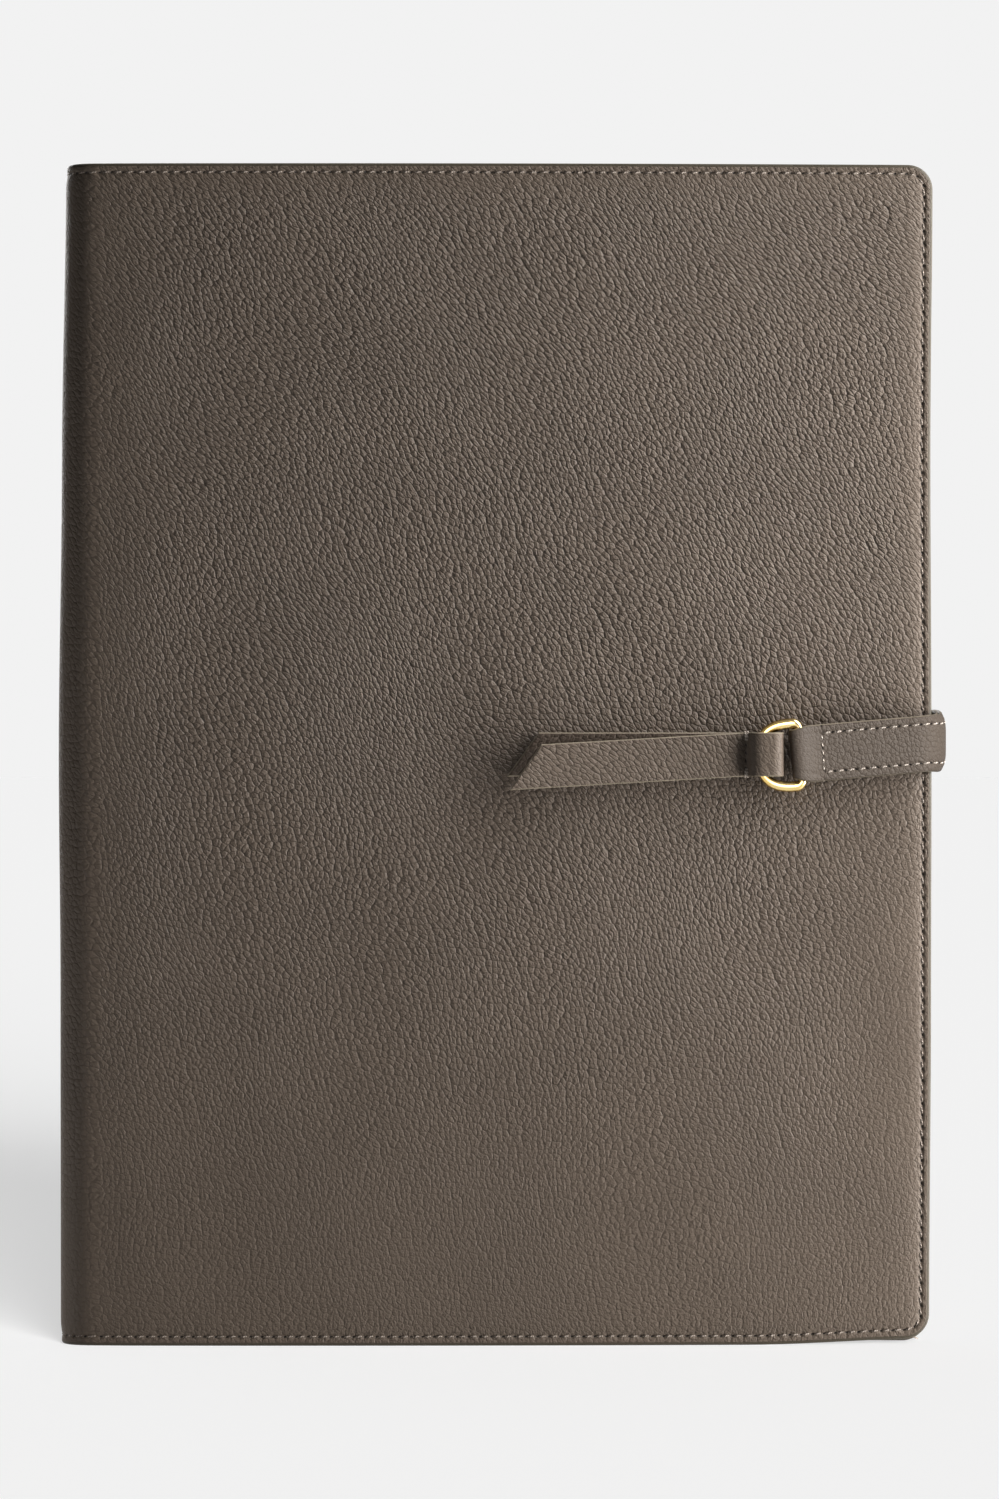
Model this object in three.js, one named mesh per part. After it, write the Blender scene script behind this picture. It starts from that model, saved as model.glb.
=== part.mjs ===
// Notebook holder in pebbled leather: one folded cover, closed at the fore-edge by a strap that carries
// a D-ring and a folded pull tab. It stands on its lower edges, as a book stands on a shelf.
// Millimetres, +Z up. The front cover faces -Y, the spine is at -X and the fore-edge at +X.
// Lengths along X are measured from the spine, depths from the middle of the thickness.
import * as THREE from "three";

const { clamp, degToRad, lerp, smoothstep } = THREE.MathUtils;

// Clearance between two pieces that touch on the real holder
const GAP = 0.35;

const COVER = {
  width: 245.4, // spine to fore-edge, along the top
  height: 334,
  wall: 2.4, // leather and its backing, sewn together all round
  spineRadius: 10, // outside of the fold, so the spine is 20 thick
  belly: 0.8, // how far the middle of each panel swells
  fallPower: 2, // how late the panels fall towards the fore-edge
  cornerRadius: 7, // both fore-edge corners
  edgeRound: 0.9, // the painted edges are rounded off
  cornerLift: 1.6, // the front lower corner stands clear of the floor
  liftAcross: 52, // how far from the fore-edge the lift fades away
  liftUp: 60, // and how far up the cover
};

// How the soft cover departs from a plain fold, by its share of the height: how far the spine bulges and
// the fore-edge stands out, and half the thickness at the fore-edge, where the strap draws it in.
const COVER_ROWS = [
  { at: 0.0, spineOut: 1.5, foreOut: -0.6, foreHalf: 5.7 },
  { at: 0.3, spineOut: 1.6, foreOut: 0.0, foreHalf: 5.2 },
  { at: 0.5, spineOut: 2.1, foreOut: 0.2, foreHalf: 5.0 },
  { at: 0.75, spineOut: 1.2, foreOut: -0.2, foreHalf: 5.2 },
  { at: 1.0, spineOut: 0.0, foreOut: 0.4, foreHalf: 5.5 },
];

const RING = {
  wire: 2.5, // diameter
  height: 20.3, // outside, along the straight bar
  depth: 14.15, // outside, from the bar to the top of the bow
  cornerRadius: 1.8, // at the middle of the wire
  bar: 208, // the bar's distance from the spine
  lift: 3.25, // middle of the wire above the front cover
};

const STRAP = {
  width: 16,
  thickness: 2.4, // two layers
  layer: 1.2,
  height: 167, // middle of the strap above the floor, at the ring
  foldWidth: 13.8, // where it passes through the ring
  taper: 6, // length over which it widens again
  closing: 6.4, // from the bar to the stitches that close the loop
  wrapRadius: 9.5, // outside of the turn round the fore-edge
  proud: 4.5, // how far the turn stands out from the fore-edge
  riseFront: 3.2, // it climbs from the ring to the fore-edge
  riseBack: 1.4, // and a little more on its way round to the back
  lean: 4.5, // degrees that its folded end leans with the ring
  backEnd: 180, // where the sewn end on the back cover stops
  edgeRound: 0.4,
};

const TAB = {
  width: 12.4,
  thickness: 1.2,
  fold: 203.4, // outside of the fold, within the ring
  tack: 192.7, // where two stitches pinch its tails together
  frontTip: 130.3, // middle of the slanted ends
  rearTip: 129.6,
  cut: 54, // degrees between the slanted ends and the edges
  droop: 3.3, // degrees that the front tail turns down
  height: 167,
  edgeRound: 0.25,
};

// The front tail's own line, from the ring to its tip: distance from the spine and how far the middle of
// the leather stands above the front cover.
const TAB_FRONT_ROWS = [
  { along: 196.7, lift: 5.55 },
  { along: 194.7, lift: 4.9 },
  { along: 193.8, lift: 3.5 },
  { along: 192.3, lift: 2.6 },
  { along: 182.7, lift: 2.7 },
  { along: 158.7, lift: 3.7 },
  { along: TAB.frontTip, lift: 6.2 },
];

const SNAP = { radius: 6, thickness: 1.1, along: 223 };

const LEATHER = { color: 0x6a5e54, roughness: 0.62, metalness: 0 };
const GOLD = { color: 0xe2bd6a, roughness: 0.22, metalness: 1 };
const STEEL = { color: 0xb9b4aa, roughness: 0.35, metalness: 1 };

// A cover row at any height, eased between the rows of the table
function coverRow(z) {
  const at = clamp(z / COVER.height, 0, 1);
  const next = Math.max(1, COVER_ROWS.findIndex((row) => row.at >= at));
  const [low, high] = [COVER_ROWS[next - 1], COVER_ROWS[next]];
  const share = smoothstep(at, low.at, high.at);
  const between = (column) => lerp(low[column], high[column], share);
  return { spineOut: between("spineOut"), foreOut: between("foreOut"), foreHalf: between("foreHalf") };
}

// Half the thickness of the closed cover, outside, at a distance from the spine
function outerHalf(x, row) {
  const across = clamp((x - COVER.spineRadius) / (COVER.width - COVER.spineRadius), 0, 1);
  const swell = COVER.belly * Math.sin(Math.PI * across);
  const fall = (COVER.spineRadius - row.foreHalf) * across ** COVER.fallPower;
  return COVER.spineRadius + swell - fall;
}

const STRAP_ROW = coverRow(STRAP.height);

// A point in plan that stands a given height above the front cover, beside the strap
const onFront = (x, lift) => new THREE.Vector2(x, -(outerHalf(x, STRAP_ROW) + lift));

// The closed outline of a wall in plan: its middle line, with half the wall's thickness on each side
function wallOutline(path, halfAt) {
  const sides = [[], []];
  path.forEach((point, i) => {
    const before = path[Math.max(i - 1, 0)];
    const after = path[Math.min(i + 1, path.length - 1)];
    const along = after.clone().sub(before).normalize();
    const normal = new THREE.Vector2(along.y, -along.x).multiplyScalar(halfAt(i));
    sides[0].push(point.clone().add(normal));
    sides[1].unshift(point.clone().sub(normal));
  });
  const outline = sides.flat();
  return THREE.ShapeUtils.isClockWise(outline) ? outline.reverse() : outline;
}

// A closed solid through flat outlines of equal length, stacked from the lowest level up
function loft(levels) {
  const count = levels[0].length;
  const corners = levels.flat();
  const index = [];
  for (let level = 0; level < levels.length - 1; level++) {
    for (let i = 0; i < count; i++) {
      const a = level * count + i;
      const b = level * count + ((i + 1) % count);
      index.push(a, b, b + count, a, b + count, a + count);
    }
  }
  const top = (levels.length - 1) * count;
  for (const [first, shift] of [[0, 0], [top, top]]) {
    const outline = corners.slice(first, first + count).map(({ x, y }) => new THREE.Vector2(x, y));
    for (const [a, b, c] of THREE.ShapeUtils.triangulateShape(outline, [])) {
      const facesUp = THREE.ShapeUtils.area([outline[a], outline[b], outline[c]]) > 0;
      const keep = facesUp === first > 0;
      index.push(a + shift, (keep ? b : c) + shift, (keep ? c : b) + shift);
    }
  }
  const geometry = new THREE.BufferGeometry().setFromPoints(corners);
  geometry.setIndex(index);
  geometry.computeVertexNormals();
  return geometry;
}

// A leather strip cut from a shape in plan, as wide as the strip along Z, with its edges rounded off
function strip(shape, width, edgeRound) {
  const geometry = new THREE.ExtrudeGeometry(shape, {
    depth: width - 2 * edgeRound,
    steps: 1,
    bevelThickness: edgeRound,
    bevelSize: edgeRound,
    bevelOffset: -edgeRound,
    bevelSegments: 2,
  });
  return geometry.translate(0, 0, edgeRound - width / 2);
}

// Moves every corner of a geometry by a function of its place
function shapeCorners(geometry, move) {
  const places = geometry.getAttribute("position");
  const corner = new THREE.Vector3();
  for (let i = 0; i < places.count; i++) {
    move(corner.fromBufferAttribute(places, i));
    places.setXYZ(i, corner.x, corner.y, corner.z);
  }
  geometry.computeVertexNormals();
  return geometry;
}

// The rounded fore-edges have one facet part of the way round, as shares of the rounding's reach and depth
const EDGE_FACET = 0.25;
const EDGE_FACET_DEPTH = 0.34;

// The middle line of the cover's wall at one height, from the front fore-edge round the spine to the back
function coverPath(z, inset) {
  const row = coverRow(z);
  const fromEnd = Math.min(z, COVER.height - z);
  const rise = clamp(COVER.cornerRadius - fromEnd, 0, COVER.cornerRadius);
  const corner = COVER.cornerRadius - Math.sqrt(COVER.cornerRadius ** 2 - rise ** 2);
  const end = COVER.width + row.foreOut - corner - inset;
  const middle = COVER.spineRadius - COVER.wall / 2;
  const armSteps = 13;
  const spineSteps = 14;
  const onMiddle = (x) => new THREE.Vector2(x, COVER.wall / 2 - outerHalf(x, row));
  const front = [onMiddle(end), onMiddle(end - COVER.edgeRound * EDGE_FACET)];
  for (let i = 0; i <= armSteps; i++) {
    front.push(onMiddle(lerp(end - COVER.edgeRound, COVER.spineRadius, i / armSteps)));
  }
  const spine = [];
  for (let i = 1; i < spineSteps; i++) {
    const turn = (Math.PI * i) / spineSteps;
    const reach = (middle + row.spineOut) * Math.sin(turn);
    spine.push(new THREE.Vector2(COVER.spineRadius - reach, -middle * Math.cos(turn)));
  }
  const back = front.map(({ x, y }) => new THREE.Vector2(x, -y)).reverse();
  return [...front, ...spine, ...back];
}

// Heights of the cover's sections: close together round the corners, and even between them
function coverHeights() {
  const cornerSteps = 6;
  const bodySteps = 10;
  const corner = [];
  for (let i = 0; i < cornerSteps; i++) {
    corner.push(COVER.cornerRadius * (1 - Math.cos((Math.PI / 2) * (i / cornerSteps))));
  }
  const body = [];
  for (let i = 0; i <= bodySteps; i++) {
    body.push(lerp(COVER.cornerRadius, COVER.height - COVER.cornerRadius, i / bodySteps));
  }
  return [...corner, ...body, ...corner.map((z) => COVER.height - z).reverse()];
}

// The folded cover: front panel, spine and back panel in one wall, open at the other three sides
function cover() {
  const sections = coverHeights().map((z) => {
    const fromEnd = Math.min(z, COVER.height - z);
    const short = clamp(COVER.edgeRound - fromEnd, 0, COVER.edgeRound);
    const inset = COVER.edgeRound - Math.sqrt(COVER.edgeRound ** 2 - short ** 2);
    const path = coverPath(z, inset);
    const halfAt = (i) => {
      const fromFore = Math.min(i, path.length - 1 - i);
      const depth = [COVER.edgeRound, COVER.edgeRound * EDGE_FACET_DEPTH][fromFore] ?? 0;
      return COVER.wall / 2 - Math.max(inset, depth);
    };
    return wallOutline(path, halfAt).map(({ x, y }) => {
      const across = smoothstep(x, COVER.width - COVER.liftAcross, COVER.width);
      const up = 1 - smoothstep(z, 0, COVER.liftUp);
      const lift = y < 0 ? COVER.cornerLift * across * up : 0;
      return new THREE.Vector3(x, y, z + lift);
    });
  });
  return loft(sections);
}

// Where the line from a point meets a circle about (centre, 0) without crossing it, as an angle
function tangentAngle(point, centre, radius) {
  const from = point.clone().sub(new THREE.Vector2(centre, 0));
  return from.angle() + Math.acos(radius / from.length());
}

// The strap's loop round the bar, outside and inside
const LOOP_OUTER = RING.wire / 2 + GAP + STRAP.layer;
const LOOP_INNER = RING.wire / 2 + GAP;

// The strap's middle line in plan, with half its thickness: a round loop at the ring that closes on the
// two sewn layers, then along the front, round the fore-edge and along the back cover to its sewn end
function strapLine() {
  const radius = STRAP.wrapRadius - STRAP.thickness / 2;
  const centre = COVER.width + STRAP.proud - STRAP.wrapRadius;
  const bar = onFront(RING.bar, RING.lift);
  const start = tangentAngle(bar, centre, radius);
  const turn = (angle) => new THREE.Vector2(centre + radius * Math.cos(angle), radius * Math.sin(angle));
  const frontSteps = 8;
  const wrapSteps = 16;
  const backSteps = 6;
  const line = loopEnd(LOOP_OUTER);
  for (let i = 0; i < frontSteps; i++) {
    const point = bar.clone().lerp(turn(start), i / frontSteps);
    line.push({ point, half: closingHalf(point.x) });
  }
  for (let i = 0; i <= wrapSteps; i++) {
    line.push({ point: turn(lerp(start, 2.5 * Math.PI, i / wrapSteps)), half: STRAP.thickness / 2 });
  }
  for (let i = 1; i <= backSteps; i++) {
    const x = lerp(centre, STRAP.backEnd, i / backSteps);
    const clear = outerHalf(x, STRAP_ROW) + GAP + STRAP.thickness / 2;
    line.push({ point: new THREE.Vector2(x, Math.max(clear, radius)), half: STRAP.thickness / 2 });
  }
  return line;
}

// The round end of the loop, from its tip to the bar, with a narrow flat at the tip
function loopEnd(radius) {
  const steps = 6;
  const line = [];
  for (let i = 0; i < steps; i++) {
    const angle = (Math.PI / 2) * ((i + 0.5) / (steps + 0.5));
    const point = onFront(RING.bar - radius * Math.cos(angle), RING.lift);
    line.push({ point, half: radius * Math.sin(angle) });
  }
  return line;
}

// Half the thickness from the bar to the stitches that close the loop, and beyond them
function closingHalf(x) {
  return lerp(LOOP_OUTER, STRAP.thickness / 2, smoothstep(x, RING.bar, RING.bar + STRAP.closing));
}

// The hole that the bar runs in, ending where the two layers meet
function eyeLine() {
  const steps = 5;
  const reach = 0.8; // share of the closing length that is still open
  const line = loopEnd(LOOP_INNER);
  for (let i = 0; i <= steps; i++) {
    const x = RING.bar + STRAP.closing * reach * (i / steps);
    const from = onFront(RING.bar, RING.lift);
    line.push({ point: new THREE.Vector2(x, from.y), half: closingHalf(x) - STRAP.layer });
  }
  return line;
}

const lineOutline = (line) => wallOutline(line.map(({ point }) => point), (i) => line[i].half);

function strap() {
  const shape = new THREE.Shape(lineOutline(strapLine()));
  shape.holes.push(new THREE.Path(lineOutline(eyeLine())));
  const fold = RING.bar - LOOP_OUTER;
  const half = STRAP_ROW.foreHalf;
  return shapeCorners(strip(shape, STRAP.width, STRAP.edgeRound), (corner) => {
    const { x, y, z } = corner;
    const round = smoothstep(y, -half, half);
    const along = clamp((x - RING.bar) / (COVER.width - RING.bar), 0, 1);
    const widen = y < 0 ? smoothstep(x, fold, fold + STRAP.taper) : 1;
    const width = lerp(STRAP.foldWidth / STRAP.width, 1, widen);
    const rise = lerp(STRAP.riseFront * along, STRAP.riseFront + STRAP.riseBack, round);
    corner.x -= z * Math.tan(degToRad(STRAP.lean)) * (1 - along) * (1 - round);
    corner.z = STRAP.height + z * width + rise;
  });
}

// The D-ring: a straight bar in the strap's loop and a bow that holds the tab
function ring() {
  const middle = RING.height / 2 - RING.wire / 2;
  const round = RING.cornerRadius;
  const bow = RING.depth - RING.wire - round;
  const line = new THREE.Path()
    .moveTo(0, round - middle)
    .lineTo(0, middle - round)
    .absarc(-round, middle - round, round, 0, Math.PI / 2)
    .absellipse(-round, 0, bow, middle, Math.PI / 2, 1.5 * Math.PI)
    .absarc(-round, round - middle, round, -Math.PI / 2, 0);
  const ringSteps = 56;
  const wireSides = 12;
  const points = line.getSpacedPoints(ringSteps).slice(0, -1);
  const loop = new THREE.CatmullRomCurve3(points.map(({ x, y }) => new THREE.Vector3(x, 0, y)), true);
  return new THREE.TubeGeometry(loop, ringSteps, RING.wire / 2, wireSides, true);
}

// The tab: one strip folded through the ring, its rear tail on the cover and its front tail lifting off
function tab() {
  const half = TAB.thickness / 2;
  const rearLift = GAP + half;
  const foldRadius = (TAB_FRONT_ROWS[0].lift - rearLift) / 2;
  const foldCentre = TAB.fold - half - foldRadius;
  const rearSteps = 5;
  const foldSteps = 10;
  const frontSteps = 35;
  const path = [];
  for (let i = 0; i < rearSteps; i++) {
    path.push(onFront(lerp(TAB.rearTip, foldCentre, i / rearSteps), rearLift));
  }
  for (let i = 0; i < foldSteps; i++) {
    const turn = (Math.PI * i) / foldSteps;
    const lift = rearLift + foldRadius * (1 - Math.cos(turn));
    path.push(onFront(foldCentre + foldRadius * Math.sin(turn), lift));
  }
  const front = [{ along: foldCentre, lift: TAB_FRONT_ROWS[0].lift }, ...TAB_FRONT_ROWS];
  const line = new THREE.SplineCurve(front.map(({ along, lift }) => onFront(along, lift)));
  path.push(...line.getPoints(frontSteps));
  const shape = new THREE.Shape(wallOutline(path, () => half));
  const betweenTails = rearLift + half + GAP / 2;
  const slant = 1 / Math.tan(degToRad(TAB.cut));
  return shapeCorners(strip(shape, TAB.width, TAB.edgeRound), (corner) => {
    const { x, y, z } = corner;
    const isFront = -y - outerHalf(x, STRAP_ROW) > betweenTails;
    const tip = isFront ? TAB.frontTip : TAB.rearTip;
    if (x < tip + half) {
      corner.x += z * slant;
      corner.y += outerHalf(x, STRAP_ROW) - outerHalf(corner.x, STRAP_ROW);
    }
    const turnedDown = isFront ? Math.tan(degToRad(TAB.droop)) * Math.max(TAB.tack - x, 0) : 0;
    corner.z = TAB.height + z - turnedDown;
  });
}

// The slope of the front cover in plan, where a flat piece lies on it
function frontSlope(x) {
  const step = 1;
  const [a, b] = [onFront(x - step, 0), onFront(x + step, 0)];
  return b.sub(a).angle();
}

// A flat piece set on the front cover, turned to lie along it
function layOnFront(mesh, x, lift, z) {
  const { y } = onFront(x, lift);
  mesh.position.set(x, y, z);
  mesh.rotation.z = frontSlope(x);
  return mesh;
}

function piece(name, geometry, finish) {
  const mesh = new THREE.Mesh(geometry, new THREE.MeshStandardMaterial(finish));
  mesh.name = name;
  return mesh;
}

const snapRise = STRAP.riseFront * ((SNAP.along - RING.bar) / (COVER.width - RING.bar));
const snap = piece("snap_disc", new THREE.CylinderGeometry(SNAP.radius, SNAP.radius, SNAP.thickness, 24), STEEL);
const dRing = piece("d_ring", ring().rotateY(degToRad(-STRAP.lean)), GOLD);

const holder = new THREE.Group();
holder.add(
  piece("cover", cover(), LEATHER),
  piece("closure_strap", strap(), LEATHER),
  layOnFront(dRing, RING.bar, RING.lift, STRAP.height),
  piece("pull_tab", tab(), LEATHER),
  layOnFront(snap, SNAP.along, GAP + SNAP.thickness / 2, STRAP.height + snapRise),
);

// The origin is the middle of the footprint, on the floor
const footprint = new THREE.Box3().setFromObject(holder).getCenter(new THREE.Vector3());
holder.position.set(-footprint.x, -footprint.y, 0);

const part = new THREE.Group();
part.add(holder);

export default part;
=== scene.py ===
"""Looks of the notebook holder: its folded leather cover, closing strap, ring, pull tab and stitches.

Sizes are millimetres on the holder's own axes. Along runs from the spine to the fore-edge, depth from
the middle of the closed thickness, with the front negative, and height from the floor. Each leather
piece is cut flat, as a grid in flat and rise, and then bent to its place.
"""

from __future__ import annotations

import logging
import math
from abc import ABC, abstractmethod
from bisect import bisect_right
from collections.abc import Callable, Iterable, Sequence
from dataclasses import dataclass, field
from enum import Enum

import bmesh
import bpy
import numpy as np
from mathutils import Matrix, Vector


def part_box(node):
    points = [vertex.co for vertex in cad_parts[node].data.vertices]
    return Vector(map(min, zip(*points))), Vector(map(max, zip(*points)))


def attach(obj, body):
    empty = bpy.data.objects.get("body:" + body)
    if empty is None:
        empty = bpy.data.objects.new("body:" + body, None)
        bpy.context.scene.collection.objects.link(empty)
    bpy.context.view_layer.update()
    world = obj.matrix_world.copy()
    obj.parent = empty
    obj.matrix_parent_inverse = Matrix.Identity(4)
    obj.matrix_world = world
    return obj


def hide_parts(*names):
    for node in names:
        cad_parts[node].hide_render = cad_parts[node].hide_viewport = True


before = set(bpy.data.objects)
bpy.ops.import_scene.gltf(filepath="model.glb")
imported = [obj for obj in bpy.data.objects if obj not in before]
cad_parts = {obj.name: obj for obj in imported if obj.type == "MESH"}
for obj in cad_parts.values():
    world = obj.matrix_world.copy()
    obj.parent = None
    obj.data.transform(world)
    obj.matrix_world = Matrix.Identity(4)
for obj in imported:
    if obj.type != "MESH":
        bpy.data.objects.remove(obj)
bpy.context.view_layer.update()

LOG = logging.getLogger("notebook_holder")
MM = 0.001
BODY = "root"
TINY = 1e-6
SLAB_DEPTH = 1.0
DISPLAY_STEPS = 255
DISPLAY_GAMMA = 2.2
Colour = tuple[float, float, float, float]
WHITE: Colour = (1.0, 1.0, 1.0, 1.0)
BMesh = bmesh.types.BMesh
Piece = bpy.types.Object
Material = bpy.types.Material
Tree = bpy.types.NodeTree
Socket = bpy.types.NodeSocket
Outputs = bpy.types.NodeOutputs
Inputs = dict[str | int, object]


def lerp(low: float, high: float, share: float) -> float:
    """Returns the value at a share of the way from low to high."""
    return low + (high - low) * share


def clamp(value: float, low: float = 0.0, high: float = 1.0) -> float:
    """Returns the value kept between low and high."""
    return max(low, min(high, value))


def ease(value: float, low: float, high: float) -> float:
    """Returns 0 below low, 1 above high and a smooth rise between them."""
    share = clamp((value - low) / (high - low))
    return share * share * (3 - 2 * share)


def spread(start: float, end: float, step: float) -> list[float]:
    """Returns evenly spaced stations between two others, which are left out."""
    count = max(1, math.ceil(abs(end - start) / step))
    return [lerp(start, end, i / count) for i in range(1, count)]


def edged(edge: list[float], length: float, step: float) -> list[float]:
    """Returns stations over a length: an edge's at both ends, and evenly spaced ones between."""
    far = [length - station for station in reversed(edge)]
    return edge + spread(edge[-1], far[0], step) + far


def srgb(red: int, green: int, blue: int) -> Colour:
    """Returns a colour given in display values as the linear values that shaders take."""
    return tuple((value / DISPLAY_STEPS) ** DISPLAY_GAMMA for value in (red, green, blue)) + (1.0,)


@dataclass(frozen=True)
class CoverRow:
    """How the soft cover departs from a plain fold at one share of its height."""

    at: float
    spine_out: float
    fore_out: float
    fore_half: float


@dataclass(frozen=True)
class CoverForm:
    """The closed cover's shape, which every piece on it follows."""

    width: float = 245.4
    height: float = 334.0
    wall: float = 2.4
    spine_radius: float = 10.0
    fold_squareness: float = 0.77
    belly: float = 0.8
    corner_lift: float = 1.6
    lift_across: float = 52.0
    lift_up: float = 60.0
    spine_fall: float = 0.8
    spine_fall_reach: float = 24.0
    fore_fall: float = 0.9
    fore_fall_reach: float = 17.0
    pinch: float = 0.7
    pinch_height: float = 168.5
    pinch_reach: float = 22.0
    pinch_from: float = 110.0
    rows: tuple[CoverRow, ...] = (
        CoverRow(0.0, 1.5, -0.6, 5.7),
        CoverRow(0.3, 1.6, 0.0, 5.2),
        CoverRow(0.5, 2.1, 0.2, 5.0),
        CoverRow(0.75, 1.2, -0.2, 5.2),
        CoverRow(1.0, 0.0, 0.4, 5.5),
    )

    @property
    def arm(self) -> float:
        """The flat width of one panel, from the fore-edge to the spine's fold."""
        return self.width - self.spine_radius

    @property
    def fold_radius(self) -> float:
        """The radius of the spine's fold at the middle of the wall."""
        return self.spine_radius - self.wall / 2

    @property
    def fold_length(self) -> float:
        """The flat length of the spine's fold."""
        return math.pi * (self.fold_radius + self.rows[1].spine_out / 2)

    @property
    def flat_width(self) -> float:
        """The width of the cover laid flat, from one fore-edge to the other."""
        return 2 * self.arm + self.fold_length

    def row(self, height: float) -> CoverRow:
        """Returns the cover's row at any height, eased between the rows of the table.

        Args:
            height: height above the floor.

        Returns:
            The row at that height.
        """
        at = clamp(height / self.height)
        following = next(i for i, row in enumerate(self.rows) if row.at >= at)
        low, high = self.rows[max(following, 1) - 1], self.rows[max(following, 1)]
        share = ease(at, low.at, high.at)
        return CoverRow(
            at,
            lerp(low.spine_out, high.spine_out, share),
            lerp(low.fore_out, high.fore_out, share),
            lerp(low.fore_half, high.fore_half, share),
        )

    def outer_half(self, along: float, row: CoverRow) -> float:
        """Returns half the closed thickness, outside, at a distance from the spine.

        Args:
            along: distance from the spine.
            row: the cover's row at the wanted height.

        Returns:
            The depth of the outer face.
        """
        across = clamp((along - self.spine_radius) / self.arm)
        swell = self.belly * math.sin(math.pi * across)
        return self.spine_radius + swell - (self.spine_radius - row.fore_half) * across**2

    def fall(self, along: float) -> float:
        """Returns how far the soft panel falls back towards the spine and towards the fore-edge.

        Args:
            along: distance from the spine.

        Returns:
            The fall where the panel is as deep as the spine.
        """
        near_spine = 1 - ease(along, 0.0, self.spine_fall_reach)
        near_edge = clamp((along - self.width) / self.fore_fall_reach + 1) ** 2
        return self.spine_fall * near_spine + self.fore_fall * near_edge

    def pinched(self, along: float, rise: float) -> float:
        """Returns how far the strap draws the front panel in."""
        beside = math.exp(-(((rise - self.pinch_height) / self.pinch_reach) ** 2))
        return self.pinch * beside * ease(along, self.pinch_from, self.width)

    def middle(self, flat: float, rise: float) -> Vector:
        """Bends a point of the flat cover to its place on the middle of the wall.

        Args:
            flat: distance from the back fore-edge, round the spine, to the point.
            rise: distance from the lower edge.

        Returns:
            The point in holder millimetres.
        """
        row = self.row(rise)
        turn = (flat - self.arm) / self.fold_length
        if 0 < turn < 1:
            angle = math.pi * turn
            out, level = math.sin(angle), math.cos(angle)
            along = self.spine_radius - (self.fold_radius + row.spine_out) * out**self.fold_squareness
            depth = self.fold_radius * math.copysign(abs(level) ** self.fold_squareness, level)
        else:
            side = 1 if turn <= 0 else -1
            from_edge = flat if turn <= 0 else self.flat_width - flat
            along = lerp(self.width + row.fore_out, self.spine_radius, from_edge / self.arm)
            depth = side * (self.outer_half(along, row) - self.wall / 2)
        depth *= 1 - self.fall(along) / self.spine_radius
        if depth > 0:
            return Vector((along, depth, rise))
        across = ease(along, self.width - self.lift_across, self.width)
        lift = self.corner_lift * across * (1 - ease(rise, 0, self.lift_up))
        return Vector((along, depth + self.pinched(along, rise), rise + lift))


COVER_FORM = CoverForm()


def holder_origin() -> Vector:
    """Returns where the holder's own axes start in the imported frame, in metres.

    Returns:
        The point where along, depth and height are all 0.
    """
    low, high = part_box("cover")
    bulge = max(row.spine_out for row in COVER_FORM.rows)
    return Vector((low.x + bulge * MM, (low.y + high.y) / 2, low.z))


ORIGIN = holder_origin()


def to_frame(point: Vector) -> Vector:
    """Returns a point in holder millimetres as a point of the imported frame, in metres."""
    return ORIGIN + point * MM


class Face(Enum):
    """The two faces of a leather wall."""

    GRAIN = 1
    FLESH = -1


@dataclass(frozen=True)
class Border:
    """The edge of a leather piece: its rounding, and the seam that runs beside it."""

    rounding: float
    seam: float
    groove: float = 0.0
    groove_half: float = 0.55
    drop: float = 0.0
    drop_reach: float = 4.0

    def rounded(self) -> list[float]:
        """Returns the distances from an edge that its rounding needs.

        Returns:
            The distances, closest together at the edge.
        """
        steps = 4
        quarter = math.pi / 2
        return [self.rounding * (1 - math.cos(quarter * i / steps)) for i in range(steps + 1)]

    def stations(self) -> list[float]:
        """Returns the distances from an edge that need a line of vertices.

        Returns:
            The distances, from the edge inwards.
        """
        slope_shares = (0.45, 0.7, 1.0)
        groove = [self.seam + self.groove_half * i / 2 for i in range(-3, 4)] if self.groove else []
        slope = [self.seam + self.drop_reach * share for share in slope_shares] if self.drop else []
        return self.rounded() + groove + slope

    def thinning(self, distance: float) -> float:
        """Returns how far each face lies below the panel's, at a distance from the edge.

        Args:
            distance: distance from the edge.

        Returns:
            What the rounding, the groove and the drop take from the face.
        """
        short = max(self.rounding - distance, 0.0)
        rounding = self.rounding - math.sqrt(self.rounding**2 - short**2)
        groove = self.groove * math.exp(-(((distance - self.seam) / self.groove_half) ** 2))
        drop = self.drop * (1 - ease(distance, self.seam, self.seam + self.drop_reach))
        return rounding + groove + drop


@dataclass(frozen=True)
class Cut:
    """Where a point of the flat leather lies, from its edge and along its seam, and its calm."""

    flat: float
    rise: float
    edge: float
    across: float
    stitched: float
    calm: float = 0.0


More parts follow.
